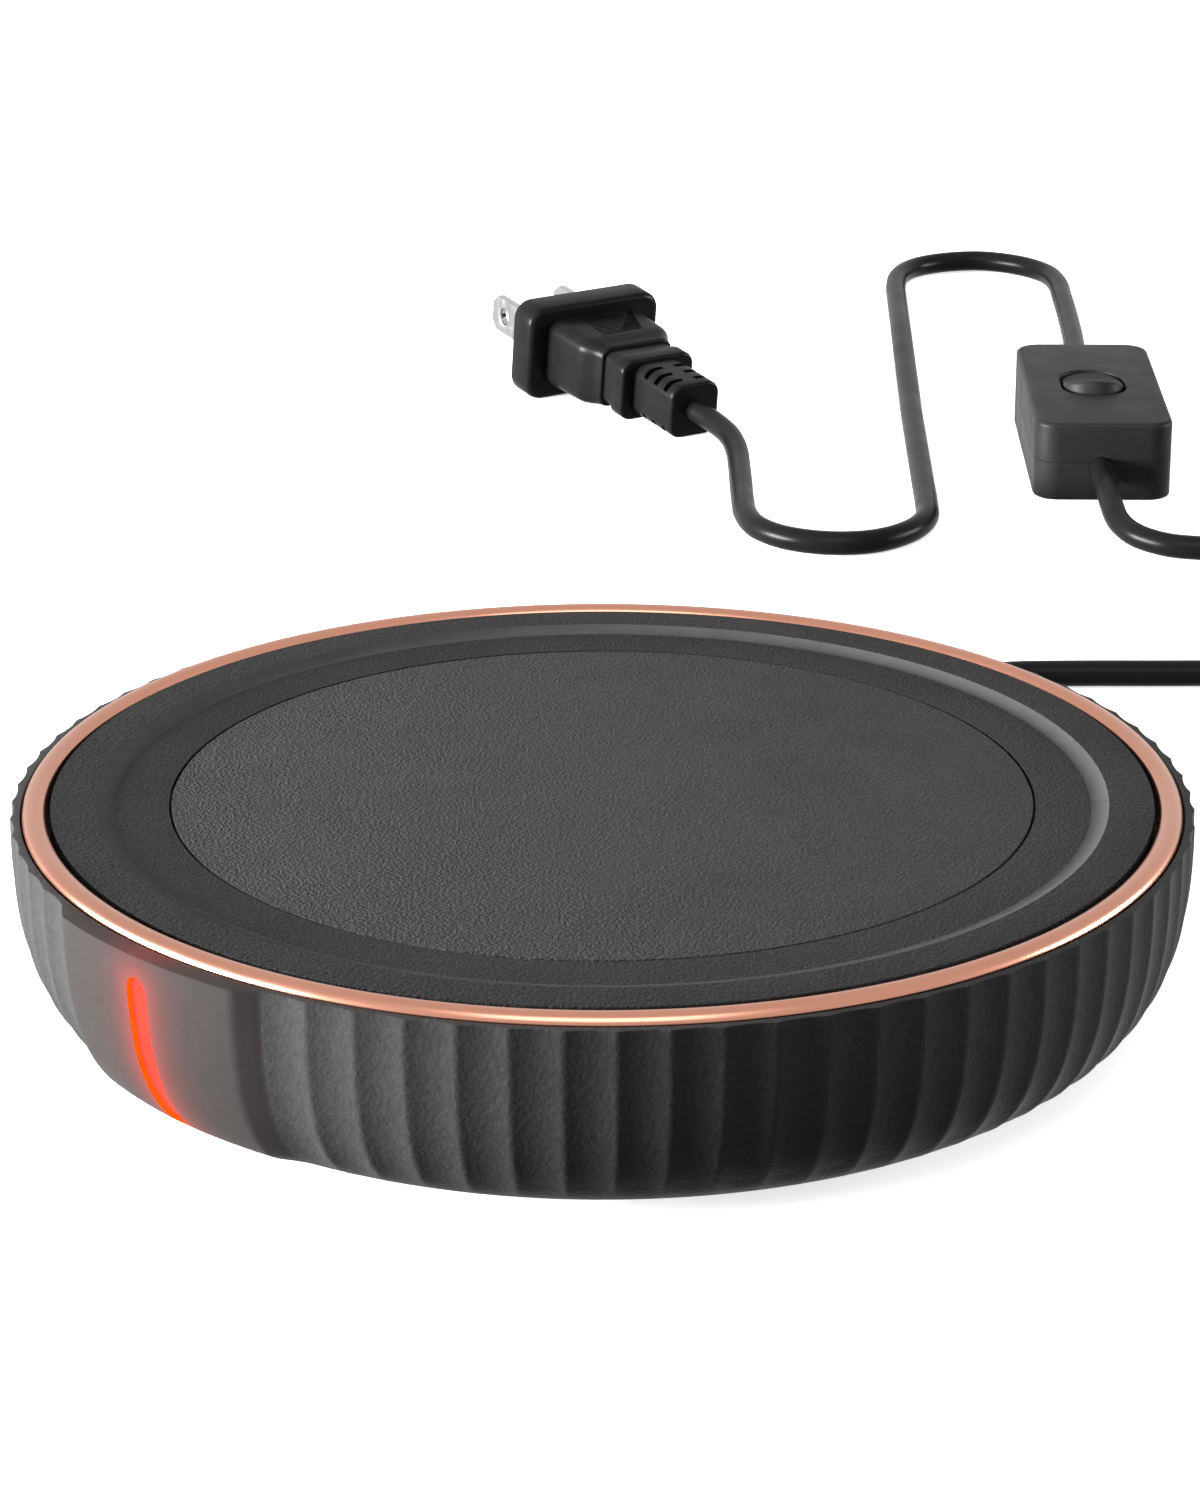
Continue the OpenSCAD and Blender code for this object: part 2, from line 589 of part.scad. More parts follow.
module warmer_lead() color("#202022") layout() tube(warmer_route, cord_d);
module switch_lead() color("#202022") layout() tube(switch_route, cord_d);
module plug_lead() color("#202022") layout() tube(plug_route, cord_d);
module lead_coil() color("#202022") layout() translate([coil_x, coil_y, 0]) rotate_extrude($fn = 96)
    translate([coil_in, 0]) square([coil_out - coil_in, coil_h]);
module coil_tie() color("#101010") layout() translate([coil_x, coil_y, 0]) {
    t = 0.7;
    translate([coil_in - t - 0.1, -3, 0]) difference() {
        cube([coil_out - coil_in + 2 * t + 0.2, 6, coil_h + t]);
        translate([t, -1, t]) cube([coil_out - coil_in + 0.2, 8, coil_h - t + 0.05]);
    }
}

// ---- inline switch ---------------------------------------------------------------------------------
switch_x = 82.5;
switch_y = 228;
switch_split = 6.4;
switch_turn = -1;
open_w = rocker_w + 0.6;
open_l = rocker_l + 1.9;
pin_z = 9.2;                            // height of the rocker's axis
pin_d = 2.4;
pin_l = 1.6;
tip_z = 3.9;                            // lowest point of the plunger
module at_switch() {
    layout() translate([switch_x, switch_y, 0]) rotate([0, 0, switch_turn]) children();
}
module round_box(w, l, r, h) {
    linear_extrude(h) round_rect(w, l, r);
}
module round_rect(w, l, r) {
    square([w - 2 * r, l], center = true);
    square([w, l - 2 * r], center = true);
    for (x = [-1, 1], y = [-1, 1]) translate([x * (w / 2 - r), y * (l / 2 - r)]) circle(r = r);
}
module stadium(w, l) {
    square([w, l - w], center = true);
    for (s = [-1, 1]) translate([0, s * (l - w) / 2]) circle(d = w);
}
lead_hole = cord_d + 0.1;
lead_off = 0.46;                        // how far each lead enters beside the middle
module lead_holes() for (s = [-1, 1]) translate([s * lead_off, s * switch_l / 2, 5.5])
    rotate([90, 0, 0]) cylinder(d = lead_hole, h = 2 * switch_wall + 0.4, center = true);

module switch_top_cover() color("#39393b") at_switch() difference() {
    top = switch_h - 0.7;
    union() {
        difference() {
            union() {
                translate([0, 0, switch_split]) round_box(switch_w, switch_l, switch_corner,
                                                          top - switch_split);
                translate([0, 0, top - hair]) bevel_top();
            }
            translate([0, 0, switch_split - 1]) round_box(switch_w - 2 * switch_wall,
                switch_l - 2 * switch_wall, switch_corner - switch_wall,
                switch_h - switch_wall - switch_split + 1);
        }
        for (s = [-1, 1]) translate([s * (open_w / 2 + 1) - 0.9, -2.6, pin_z - 2.6])
            cube([1.8, 5.2, switch_h - 1 - pin_z + 2.6]);
        screw_spots() translate([0, 0, switch_split]) cylinder(d = 4, h = switch_h - 1 - switch_split);
    }
    translate([0, 0, switch_h - switch_wall - 1]) linear_extrude(switch_wall + 2)
        stadium(open_w, open_l);
    translate([0, 0, pin_z]) rotate([0, 90, 0])
        cylinder(d = pin_d + 2 * touch, h = open_w + 6, center = true);
    screw_spots() translate([0, 0, switch_split - 1]) cylinder(d = 1.6, h = 5);
    lead_holes();
}
// Bevelled crown of the upper cover: three thin steps of one outline, each drawn in
module bevel_top() for (i = [0:2]) translate([0, 0, i * 0.233])
    round_box(switch_w - 0.3 - i * 0.5, switch_l - 0.3 - i * 0.5, switch_corner - 0.15 - i * 0.25,
              0.234 + hair);
module screw_spots() for (s = [-1, 1]) translate([s * (switch_w / 2 - 4.2), -s * (switch_l / 2 - 8), 0])
    children();

module switch_bottom_cover() color("#2c2c2e") at_switch() difference() {
    union() {
        difference() {
            round_box(switch_w, switch_l, switch_corner, switch_split);
            translate([0, 0, switch_wall]) round_box(switch_w - 2 * switch_wall,
                switch_l - 2 * switch_wall, switch_corner - switch_wall, switch_h);
        }
        screw_spots() translate([0, 0, 1]) cylinder(d = 5.6, h = switch_split - 1);
        for (y = [-1, 1]) translate([-3, y * 16 - 1, 1]) cube([8, 2, 2.4]);
    }
    screw_spots() translate([0, 0, -1]) cylinder(d = 2.2, h = switch_h);
    screw_spots() translate([0, 0, -1]) cylinder(d = 4, h = 2.8);
    lead_holes();
}
module switch_screws() color("silver") at_switch() screw_spots() {
    translate([0, 0, 0.3]) cylinder(d = 3.6, h = 1.5);
    translate([0, 0, 1]) cylinder(d = 1.6, h = 8);
}

// Everything on the rocker turns with it, here tilted to the side it rests on
module on_rocker() {
    at_switch() translate([0, 0, pin_z]) rotate([-rocker_tilt, 0, 0]) children();
}
rocker_low = 2.4;
rocker_up = 4.6;
rocker_dish = 0.9;                      // how far the middle of the rocker's face is dished
rocker_taper = 0.55;                    // how far its ends lean in towards the top
stem_l = 1.6;
bore_top = 0.8;                         // end of the plunger's bore above the axis
tip = pin_z - tip_z;
plunger_d = 2.4;
plunger_top = -1.2;
module rocker() color("#38383a") on_rocker() difference() {
    union() {
        intersection() {
            translate([0, 0, -rocker_low]) linear_extrude(rocker_low + rocker_up + 1)
                stadium(rocker_w, rocker_l);
            rotate([90, 0, 90]) linear_extrude(rocker_w, center = true) polygon(concat(
                [[-rocker_l / 2, 2], [-rocker_l / 2, -rocker_low],
                 [rocker_l / 2, -rocker_low], [rocker_l / 2, 2]],
                [for (s = [-5:5]) let (u = -s / 5)
                    [u * (rocker_l / 2 - rocker_taper), rocker_up + rocker_dish * (u * u - 1)]]));
        }
        rotate([0, 90, 0]) cylinder(d = pin_d, h = rocker_w + 2 * pin_l, center = true);
        translate([0, 0, -rocker_low - stem_l]) cylinder(d = 4.6, h = stem_l + 1);
    }
    translate([0, 0, -rocker_low - stem_l - 1])
        cylinder(d = plunger_d + 0.2, h = rocker_low + stem_l + 1 + bore_top);
}
module rocker_plunger() color("#e6e2d6") on_rocker() {
    translate([0, 0, plunger_d / 2 - tip]) cylinder(d = plunger_d, h = tip - plunger_d / 2 + plunger_top);
    translate([0, 0, plunger_d / 2 - tip]) sphere(d = plunger_d);
}
spring_wire = 0.36;
spring_turns = 4;
spring_steps = 10;
module plunger_spring() color("silver") on_rocker() {
    low = plunger_top + spring_wire / 2 + 0.02;
    high = bore_top - spring_wire / 2 - 0.02;
    tube([for (i = [0:spring_turns * spring_steps]) let (a = 360 * i / spring_steps)
        [0.95 * cos(a), 0.95 * sin(a), low + (high - low) * i / (spring_turns * spring_steps)]],
        spring_wire, 6);
}
bridge_z = 3.1;                         // height of the contact bridge's pivot
bridge_tilt = 5;
bridge_l = 11;
bridge_w = 3;
bridge_t = 0.5;
module contact_bridge() color("#c8964a") at_switch() translate([0, 0, bridge_z])
    rotate([bridge_tilt, 0, 0]) {
        translate([-bridge_w / 2, -bridge_l / 2, -bridge_t / 2]) cube([bridge_w, bridge_l, bridge_t]);
        for (s = [-1, 1]) translate([0, s * (bridge_l / 2 - 1.2), -bridge_t / 2 - 0.3])
            cylinder(d = 2, h = 0.4);
    }
module switch_terminals() color("#b8863a") at_switch() {
    difference() {
        translate([-bridge_w / 2 - 1, -1, switch_wall])
            cube([bridge_w + 2, 2, bridge_z + 0.3 - switch_wall]);
        translate([-bridge_w / 2 - touch * 4, -2, bridge_z - bridge_t / 2 - 0.15])
            cube([bridge_w + touch * 8, 4, 2]);
    }
    for (s = [-1, 1]) translate([-2, s * (bridge_l / 2 - 1.2) - 1.4, switch_wall])
        cube([4, 2.8, 0.35]);
}

// ---- plug ------------------------------------------------------------------------------------------
plug_x = 16;
plug_y = 240;
plug_turn = 32;
tail_l = 12;
collar_l = 7;
grip_l = 14;
grip_w = 19;
grip_h = 12;
neck_w = 14.5;
neck_h = 11;
tail_w = 9.6;
tail_end_w = 8.4;
plug_end = tail_l + collar_l + grip_l + plug_t;
// The plug lies on its tail and on the edge of its face, so that its blades point up a little
plug_tip = atan((plug_h - tail_w) / 2 / (plug_end - plug_t));
plug_z = tail_w / 2 * cos(plug_tip);
// The lead from the switch, which ends at the plug's tail
plug_route = [[83.4, 251.4, 5.5], [83.8, 260, 5.1], [84.4, 268, 3.6], [85.1, 277, 2.3],
    [85.9, 287, 2], [86.5, 297, 2], [86.9, 307, 2], [87.2, 317, 2], [87.4, 327, 2], [87.5, 337, 2],
    [86, 345, 2], [81.4, 351.4, 2], [74.4, 355, 2], [67, 353.8, 2], [61, 349.6, 2], [57.6, 343, 2],
    [56.4, 335, 2], [56, 325, 2], [55.7, 315, 2], [55.4, 305, 2], [55.1, 295, 2], [54.8, 285, 2],
    [54.5, 275, 2], [54.2, 265, 2], [53.9, 255, 2], [53.6, 245, 2], [53.4, 235, 2], [53.2, 225, 2],
    [53, 215, 2], [52.8, 205, 2], [52.6, 195, 2], [52, 187, 2], [48.8, 180, 2], [43, 175, 2],
    [36, 174, 2], [29.4, 176.6, 2], [25, 182, 2], [23.2, 189, 2], [22.9, 197, 2],
    [22.9, 206, 2], [22.9, 215, 2.2], [22.7, 223, 2.7], [21.6, 229.4, 3.4], [19.2, 234.9, 4.1],
    [plug_x, plug_y, plug_z]];
module at_plug() {
    layout() translate([plug_x, plug_y, plug_z]) rotate([plug_tip - 90, 0, plug_turn]) children();
}
tail_slots = 3;
slot_w = 1.2;
slot_step = 3.1;
slot_bridge = 1.1;                      // half width of the web left between the slots of a row
grip_rise = 4.5;                        // length over which the grip widens from the waist
rib_n = 9;
rib_step = 0.9;
module section(w, h, r, z) translate([0, 0, z]) round_box(w, h, r, 0.01, $fn = 32);
module plug_body() color("#1d1d1f") at_plug() {
    collar_z = tail_l + collar_l * 0.55;
    grip_z = tail_l + collar_l;
    face_z = plug_end - plug_t;
    difference() {
        union() {
            round_box(tail_w, tail_w, 2.4, tail_l + 1);
            translate([0, 0, tail_l]) round_box(neck_w, neck_h, 2.4, collar_z - tail_l);
            translate([0, 0, collar_z - 0.5]) round_box(neck_w - 1.6, neck_h - 1.2, 1.8, collar_l);
            hull() {
                section(neck_w - 0.6, neck_h - 0.4, 2, grip_z);
                section(grip_w - 0.8, grip_h, 2.4, grip_z + grip_rise);
                section(grip_w, grip_h + 0.4, 2.4, face_z + 1);
            }
            translate([0, 0, face_z]) round_box(plug_w, plug_h, 3.2, plug_t);
        }
        for (f = [0, 180], i = [0:tail_slots - 1], s = [-1, 1]) rotate([0, 0, f])
            translate([s > 0 ? slot_bridge : -tail_w, tail_w / 2 - 1.6, 2 + i * slot_step])
                cube([tail_w - slot_bridge, 3, slot_w]);
        insert_block();
        blade_stock();
        for (i = [0:rib_n - 1]) translate([-4, -grip_h / 2 - 2, grip_z + 4.8 + i * rib_step])
            cube([8, 2.4, rib_step / 2]);
    }
}
// Stiff bridge moulded in, which holds the blades at their distance
insert_l = 9;
insert_w = 17;
insert_h = 8;
insert_cover = 1.5;                     // moulding in front of the insert
module insert_block() translate([0, 0, plug_end - insert_cover - insert_l])
    round_box(insert_w, insert_h, 1, insert_l);
module blade_stock() for (s = [-1, 1])
    translate([s * blade_pitch / 2 - blade_t / 2, -blade_w / 2, plug_end - blade_root])
        cube([blade_t, blade_w, blade_root + blade_l]);
blade_root = 8;
module plug_insert() color("#2a2a2c") at_plug() difference() {
    insert_block();
    blade_stock();
}
module plug_blades() color("#d9d9dc") at_plug() difference() {
    nose = 1.4;                         // bevel of the blades' tips
    intersection() {
        blade_stock();
        rotate([90, 0, 90]) linear_extrude(plug_w, center = true) polygon([
            [-blade_w, plug_end - blade_root - 1], [blade_w, plug_end - blade_root - 1],
            [blade_w, plug_end + blade_l - nose - blade_w / 2],
            [blade_w / 2 - nose, plug_end + blade_l], [nose - blade_w / 2, plug_end + blade_l],
            [-blade_w, plug_end + blade_l - nose - blade_w / 2]]);
    }
    translate([0, 0, plug_end + blade_l - 4]) rotate([0, 90, 0])
        cylinder(d = 3, h = plug_w, center = true);
}

fluted_housing();
base_cover();
top_cover();
trim_ring();
heating_plate();
plate_gasket();
plate_studs();
upper_mica_sheet();
resistance_ribbon();
lower_mica_sheet();
insulation_pad();
clamp_plate();
stud_nuts();
thermostat();
thermal_fuse();
fuse_strap();
strip_lens();
lens_holder();
light_board();
light_leds();
terminal_block();
internal_leads();
lead_tail();
lead_clamp();
clamp_screws();
bend_relief();
rubber_feet();
housing_screws();
warmer_lead();
lead_coil();
coil_tie();
switch_lead();
plug_lead();
switch_top_cover();
switch_bottom_cover();
rocker();
rocker_plunger();
plunger_spring();
contact_bridge();
switch_terminals();
switch_screws();
plug_body();
plug_insert();
plug_blades();
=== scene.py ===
"""Looks of the electric mug warmer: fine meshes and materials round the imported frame."""
import math

import bmesh
import bpy
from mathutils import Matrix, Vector


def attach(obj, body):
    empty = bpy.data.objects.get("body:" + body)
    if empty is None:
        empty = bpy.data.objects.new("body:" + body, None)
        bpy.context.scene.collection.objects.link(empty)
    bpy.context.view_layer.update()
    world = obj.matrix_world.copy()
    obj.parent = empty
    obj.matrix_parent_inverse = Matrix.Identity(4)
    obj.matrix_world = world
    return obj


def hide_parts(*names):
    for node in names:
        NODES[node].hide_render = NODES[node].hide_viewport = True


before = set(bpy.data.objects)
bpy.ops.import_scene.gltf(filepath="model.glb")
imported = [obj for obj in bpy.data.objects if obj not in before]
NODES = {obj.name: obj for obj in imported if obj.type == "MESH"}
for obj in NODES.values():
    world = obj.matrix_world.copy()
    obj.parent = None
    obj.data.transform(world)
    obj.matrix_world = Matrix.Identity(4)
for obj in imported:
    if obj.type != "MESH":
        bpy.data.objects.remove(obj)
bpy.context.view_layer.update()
MM = 0.001

# ---- sizes of the part, in millimetres, as its source has them ---------------
BODY_R, BODY_H = 70, 25.3
FLANK_W, FLANK_P = 19.1, 2.87
WALL, SPLIT_A = 2.6, 67
FLUTE_N, FLUTE_D, FADE_FROM = 77, 0.4, 20.5
PANEL_K, PANEL_FILL, PANEL_RISE = 3, 0.83, 1.3
RING_R, RING_W, RING_SEAT = 65.6, 3, 2
BORDER_RISE, BORDER_R, SHOULDER_W, COVER_T = 0.7, 59.9, 2.1, 1.6
PLATE_R, PLATE_GAP = 51, 0.3
STRIP_W, STRIP_TOP, STRIP_END = 3.1, 2.6, 21.6
FOOT_H = 1.3
CORD_D, EXIT_Z, EXIT_TURN = 3.8, 9.5, 203.4
RELIEF_L, RELIEF_D, RELIEF_END_D = 25, 6.8, 5
LAY_TURN = 45.5
RIM_Z = FOOT_H + BODY_H


def turned(p, degrees):
    """Point turned about +Z."""
    c, s = math.cos(math.radians(degrees)), math.sin(math.radians(degrees))
    return (c * p[0] - s * p[1], s * p[0] + c * p[1], p[2])


# ---- camera ------------------------------------------------------------------
CAMERA_AT = (0.3524, -0.3469, 0.2157)
CAMERA_AIM = (-0.6684, 0.6572, -0.3484)
LENS_MM, SENSOR_MM = 106.87, 36
CAMERA_REACH = 50


def make_camera():
    data = bpy.data.cameras.new("camera")
    data.lens = LENS_MM
    data.sensor_width = SENSOR_MM
    data.clip_end = CAMERA_REACH
    camera = bpy.data.objects.new("camera", data)
    bpy.context.scene.collection.objects.link(camera)
    camera.location = CAMERA_AT
    camera.rotation_euler = Vector(CAMERA_AIM).to_track_quat("-Z", "Y").to_euler()
    bpy.context.scene.camera = camera


make_camera()


# ---- node materials ----------------------------------------------------------
NOISE_RANGE = (0.3, 0.7)
PEBBLE_RANGE = (0.35, 0.65)
PEBBLE_ROUGH = 0.5
CELL_SHARE, CELL_RATE, TINT_RATE = 0.7, 1.3, 0.6
FINE_DETAIL, TINT_DETAIL = 2, 3
SPECK_SCALE, SPECK_STRENGTH = 3500, 0.5
STREAK_SCALE, STREAK_ROUGH, STREAK_SQUASH, STREAK_DARK = 900, 0.6, 0.12, 0.86


class Nodes:
    """A node tree with short calls for its nodes."""

    def __init__(self, tree):
        self.t = tree

    def link(self, a, b):
        self.t.links.new(a, b)

    def feed(self, socket, value):
        """The socket takes another node's output or a constant."""
        if hasattr(value, "is_output"):
            self.link(value, socket)
        else:
            socket.default_value = value

    def math(self, op, a, b=0.0, clamp=False):
        n = self.t.nodes.new("ShaderNodeMath")
        n.operation = op
        n.use_clamp = clamp
        self.feed(n.inputs[0], a)
        self.feed(n.inputs[1], b)
        return n.outputs[0]

    def remap(self, value, low, high, to_low=0.0, to_high=1.0, kind="LINEAR"):
        n = self.t.nodes.new("ShaderNodeMapRange")
        n.interpolation_type = kind
        self.link(value, n.inputs["Value"])
        for key, v in (("From Min", low), ("From Max", high), ("To Min", to_low),
                       ("To Max", to_high)):
            n.inputs[key].default_value = v
        return n.outputs["Result"]

    def rays(self):
        """Whether the camera sees it, and whether a mirror or a clear piece could show it too."""
        light = self.t.nodes.new("ShaderNodeLightPath").outputs
        camera = light["Is Camera Ray"]
        others = self.math("MAXIMUM", light["Is Glossy Ray"], light["Is Transmission Ray"])
        return camera, self.math("MAXIMUM", camera, others)


class Mat(Nodes):
    """A material with a Principled shader."""

    def __init__(self, name, rough=0.5, metal=0.0, **sockets):
        self.m = bpy.data.materials.new(name)
        self.m.use_nodes = True
        super().__init__(self.m.node_tree)
        self.p = self.t.nodes["Principled BSDF"]
        self.p.inputs["Roughness"].default_value = rough
        self.p.inputs["Metallic"].default_value = metal
        for key, value in sockets.items():
            self.p.inputs[key.replace("_", " ")].default_value = value
        self.coords = self.t.nodes.new("ShaderNodeTexCoord").outputs["Object"]

    def noise(self, scale, detail=FINE_DETAIL, rough=0.55, vector=None):
        n = self.t.nodes.new("ShaderNodeTexNoise")
        for key, value in (("Scale", scale), ("Detail", detail), ("Roughness", rough)):
            n.inputs[key].default_value = value
        self.link(vector or self.coords, n.inputs["Vector"])
        return n.outputs["Fac"]

    def cells(self, scale):
        n = self.t.nodes.new("ShaderNodeTexVoronoi")
        n.inputs["Scale"].default_value = scale
        self.link(self.coords, n.inputs["Vector"])
        return n.outputs["Distance"]

    def mottle(self, scale, to_low=0.0, to_high=1.0, detail=FINE_DETAIL):
        """Noise with its usual range stretched to the given one."""
        return self.remap(self.noise(scale, detail), *NOISE_RANGE, to_low, to_high)

    def mix(self, fac, a, b):
        """Colour between two others."""
        n = self.t.nodes.new("ShaderNodeMix")
        n.data_type = "RGBA"
        self.link(fac, n.inputs["Factor"])
        for socket, value in ((n.inputs[6], a), (n.inputs[7], b)):
            self.feed(socket, value if hasattr(value, "is_output") else (*value, 1))
        return n.outputs[2]

    def xyz(self):
        n = self.t.nodes.new("ShaderNodeSeparateXYZ")
        self.link(self.coords, n.inputs[0])
        return n.outputs

    def color(self, source):
        self.link(source, self.p.inputs["Base Color"])

    def rough(self, source):
        self.link(source, self.p.inputs["Roughness"])

    def bump(self, height, strength, depth):
        n = self.t.nodes.new("ShaderNodeBump")
        n.inputs["Strength"].default_value = strength
        n.inputs["Distance"].default_value = depth
        self.link(height, n.inputs["Height"])
        self.link(n.outputs[0], self.p.inputs["Normal"])


def tinted(m, base, spread, scale):
    """Colour that wanders a little round the base colour."""
    low = tuple(c * (1 - spread) for c in base)
    high = tuple(min(1, c * (1 + spread)) for c in base)
    m.color(m.mix(m.mottle(scale, detail=TINT_DETAIL), low, high))


def pebbled(m, scale, cell_scale, depth):
    """Leather-like grain of rounded pebbles and cells."""
    pebbles = m.remap(m.noise(scale, rough=PEBBLE_ROUGH), *PEBBLE_RANGE)
    cells = m.math("MULTIPLY", m.cells(cell_scale), CELL_SHARE)
    m.bump(m.math("ADD", pebbles, cells), 1.0, depth)


def grained(name, base, rough, grain, depth, **sockets):
    """Moulded or coated surface with a leather-like grain of that size in metres."""
    m = Mat(name, rough, **sockets)
    tinted(m, base, 0.12, TINT_RATE / grain)
    pebbled(m, 1 / grain, CELL_RATE / grain, depth)
    m.rough(m.mottle(60, rough - 0.05, rough + 0.06))
    return m.m


def plain(name, base, rough, spread=0.08, scale=300, speck=0.0, **sockets):
    """Smooth moulded surface with faint mottling, and a fine tooth where speck is set."""
    m = Mat(name, rough, **sockets)
    tinted(m, base, spread, scale)
    m.rough(m.mottle(scale * 0.5, rough - 0.04, rough + 0.04))
    if speck:
        m.bump(m.noise(SPECK_SCALE), SPECK_STRENGTH, speck)
    return m.m


def metal(name, base, rough):
    """Metal with fine rolled streaks."""
    m = Mat(name, rough, metal=1.0)
    stretch = m.t.nodes.new("ShaderNodeMapping")
    stretch.inputs["Scale"].default_value = (1, 1, STREAK_SQUASH)
    m.link(m.coords, stretch.inputs["Vector"])
    streaks = m.noise(STREAK_SCALE, 3, STREAK_ROUGH, stretch.outputs[0])
    m.color(m.mix(streaks, tuple(c * STREAK_DARK for c in base), base))
    m.rough(m.remap(streaks, *NOISE_RANGE, rough - 0.06, rough + 0.08))
    return m.m


def plated(name, base, rough):
    """Satin plating, smooth but for a faint unevenness of its polish."""
    m = Mat(name, rough, metal=1.0)
    tinted(m, base, 0.03, 40)
    m.rough(m.mottle(90, rough - 0.03, rough + 0.03))
    return m.m


FLANK_GREY = (0.027, 0.0264, 0.0264)
PANEL_GREY = (0.022, 0.020, 0.0195)
# GLOW is the red of the glow painted on the panel round the lit strip; reach and strength below
# shape that painted glow
GLOW = (1.0, 0.04, 0.02)
PAINTED_GLOW_REACH, PAINTED_GLOW_STRENGTH = 0.0021, 0.5


def make_flank_material():
    """Fine spark-eroded plastic of the fluted flank."""
    m = Mat("housing_plastic", 0.42, Specular_IOR_Level=0.025)
    tinted(m, FLANK_GREY, 0.12, 900)
    pebbled(m, 1700, 2200, 0.000026)
    m.rough(m.mottle(70, 0.36, 0.44))
    return m.m


def make_panel_material_with_painted_glow():
    """Smooth panel; round the lit strip a red glow is painted into the plastic's emission, fading
    away from the slot.
    """
    m = Mat("panel_plastic_and_painted_glow", 0.42, Specular_IOR_Level=0.04)
    tinted(m, PANEL_GREY, 0.04, 500)
    m.bump(m.noise(2600, 3), 0.5, 0.00002)
    x, _, z = m.xyz()
    half = STRIP_W / 2 * MM
    above = m.math("MAXIMUM", m.math("SUBTRACT", z, (RIM_Z - STRIP_TOP) * MM - half), 0.0)
    squares = m.math("ADD", m.math("MULTIPLY", x, x), m.math("MULTIPLY", above, above))
    away = m.math("SUBTRACT", m.math("SQRT", squares), half)
    # painted glow: red emission on the panel plastic that fades with distance from the slot
    painted_glow = m.math("EXPONENT", m.math("MULTIPLY", away, -1 / PAINTED_GLOW_REACH), clamp=True)
    m.p.inputs["Emission Color"].default_value = (*GLOW, 1)
    m.link(m.math("MULTIPLY", painted_glow, PAINTED_GLOW_STRENGTH), m.p.inputs["Emission Strength"])
    return m.m


def lit(name, base, dim, bright):
    """Plastic that glows a little unevenly: the lens with the light behind it, and the slot's
    walls, where the glow is painted.
    """
    m = Mat(name, 0.4, Specular_IOR_Level=0.05)
    tinted(m, base, 0.05, 400)
    m.p.inputs["Emission Strength"].default_value = 1.0
    m.link(m.mix(m.mottle(250), dim, bright), m.p.inputs["Emission Color"])
    return m.m


CABLE_BLACK = (0.005, 0.005, 0.0052)
LEATHER_GRAIN = 0.00045
SOFT_SHEEN = {"Specular_IOR_Level": 0.05}
DARK_SHEEN = {"Specular_IOR_Level": 0.06}
MATS = {
    "flank": make_flank_material(),
    "panel": make_panel_material_with_painted_glow(),
    "cover": grained("cover_plastic", (0.0140, 0.0140, 0.0142), 0.5, LEATHER_GRAIN, 0.00009,
                     **SOFT_SHEEN),
    # The shoulder is smooth and ungrained, and its colour is lighter than the cover's: a painted
    # highlight
    "shoulder": plain("shoulder_plastic_painted_highlight", (0.045, 0.045, 0.045), 0.5, Specular_IOR_Level=0.0),
    "plate": grained("plate_coating", (0.027, 0.027, 0.0272), 0.5, LEATHER_GRAIN, 0.0002,
                     **SOFT_SHEEN),
    "copper": plated("rose_gold", (0.55, 0.255, 0.175), 0.24),
    "cable": plain("cable_pvc", CABLE_BLACK, 0.3, speck=0.00001, **DARK_SHEEN),
    "pvc": plain("plug_pvc", CABLE_BLACK, 0.3, speck=0.000012, **DARK_SHEEN),
    "switch": plain("switch_plastic", (0.012, 0.012, 0.0122), 0.42, speck=0.000012, **DARK_SHEEN),
    "rocker": plain("rocker_plastic", (0.014, 0.014, 0.0142), 0.45, speck=0.00001, **DARK_SHEEN),
    "base": plain("base_plastic", (0.022, 0.022, 0.023), 0.5, speck=0.00002),
    "rubber": plain("rubber_black", (0.012, 0.012, 0.012), 0.8, speck=0.00003),
    "tie": plain("tie_plastic", (0.010, 0.010, 0.010), 0.55, speck=0.00002),
    "silicone": plain("silicone", (0.010, 0.010, 0.010), 0.6, speck=0.00002),
    "phenolic": plain("black_phenolic", (0.035, 0.028, 0.023), 0.5, speck=0.00002),
    "nylon": plain("nylon", (0.70, 0.68, 0.62), 0.5, speck=0.00002),
    "board": plain("board_green", (0.02, 0.16, 0.06), 0.35, speck=0.00001),
    "led": plain("led_body", (0.8, 0.75, 0.65), 0.3),
    "wire": plain("wire_red", (0.45, 0.03, 0.02), 0.4),
    "mica": plain("mica", (0.48, 0.38, 0.22), 0.4, spread=0.25, scale=180),
    "felt": plain("felt", (0.72, 0.70, 0.64), 0.9, spread=0.15, scale=900, speck=0.0001),
    "steel": metal("steel", (0.56, 0.56, 0.57), 0.32),
    "aluminium": metal("aluminium_sheet", (0.66, 0.66, 0.67), 0.38),
    "brass": metal("brass_part", (0.68, 0.46, 0.18), 0.3),
    "nickel": metal("nickel", (0.52, 0.515, 0.51), 0.24),
}
LENS_FACE = lit("lens_face", (0.05, 0.004, 0.002), (0.98, 0.070, 0.042), (1.0, 0.085, 0.052))
# The slot's walls in the housing glow orange: the lens's light falling on them is painted, not cast
SLOT_WALL_GLOW = lit("slot_wall_painted_glow", (0.05, 0.006, 0.001), (1.0, 0.10, 0.003), (1.0, 0.13, 0.006))
HOUSING_MATS = [MATS["flank"], MATS["panel"], SLOT_WALL_GLOW]
FLANK_SLOT, PANEL_SLOT, PAINTED_GLOW_WALL_SLOT = 0, 1, 2

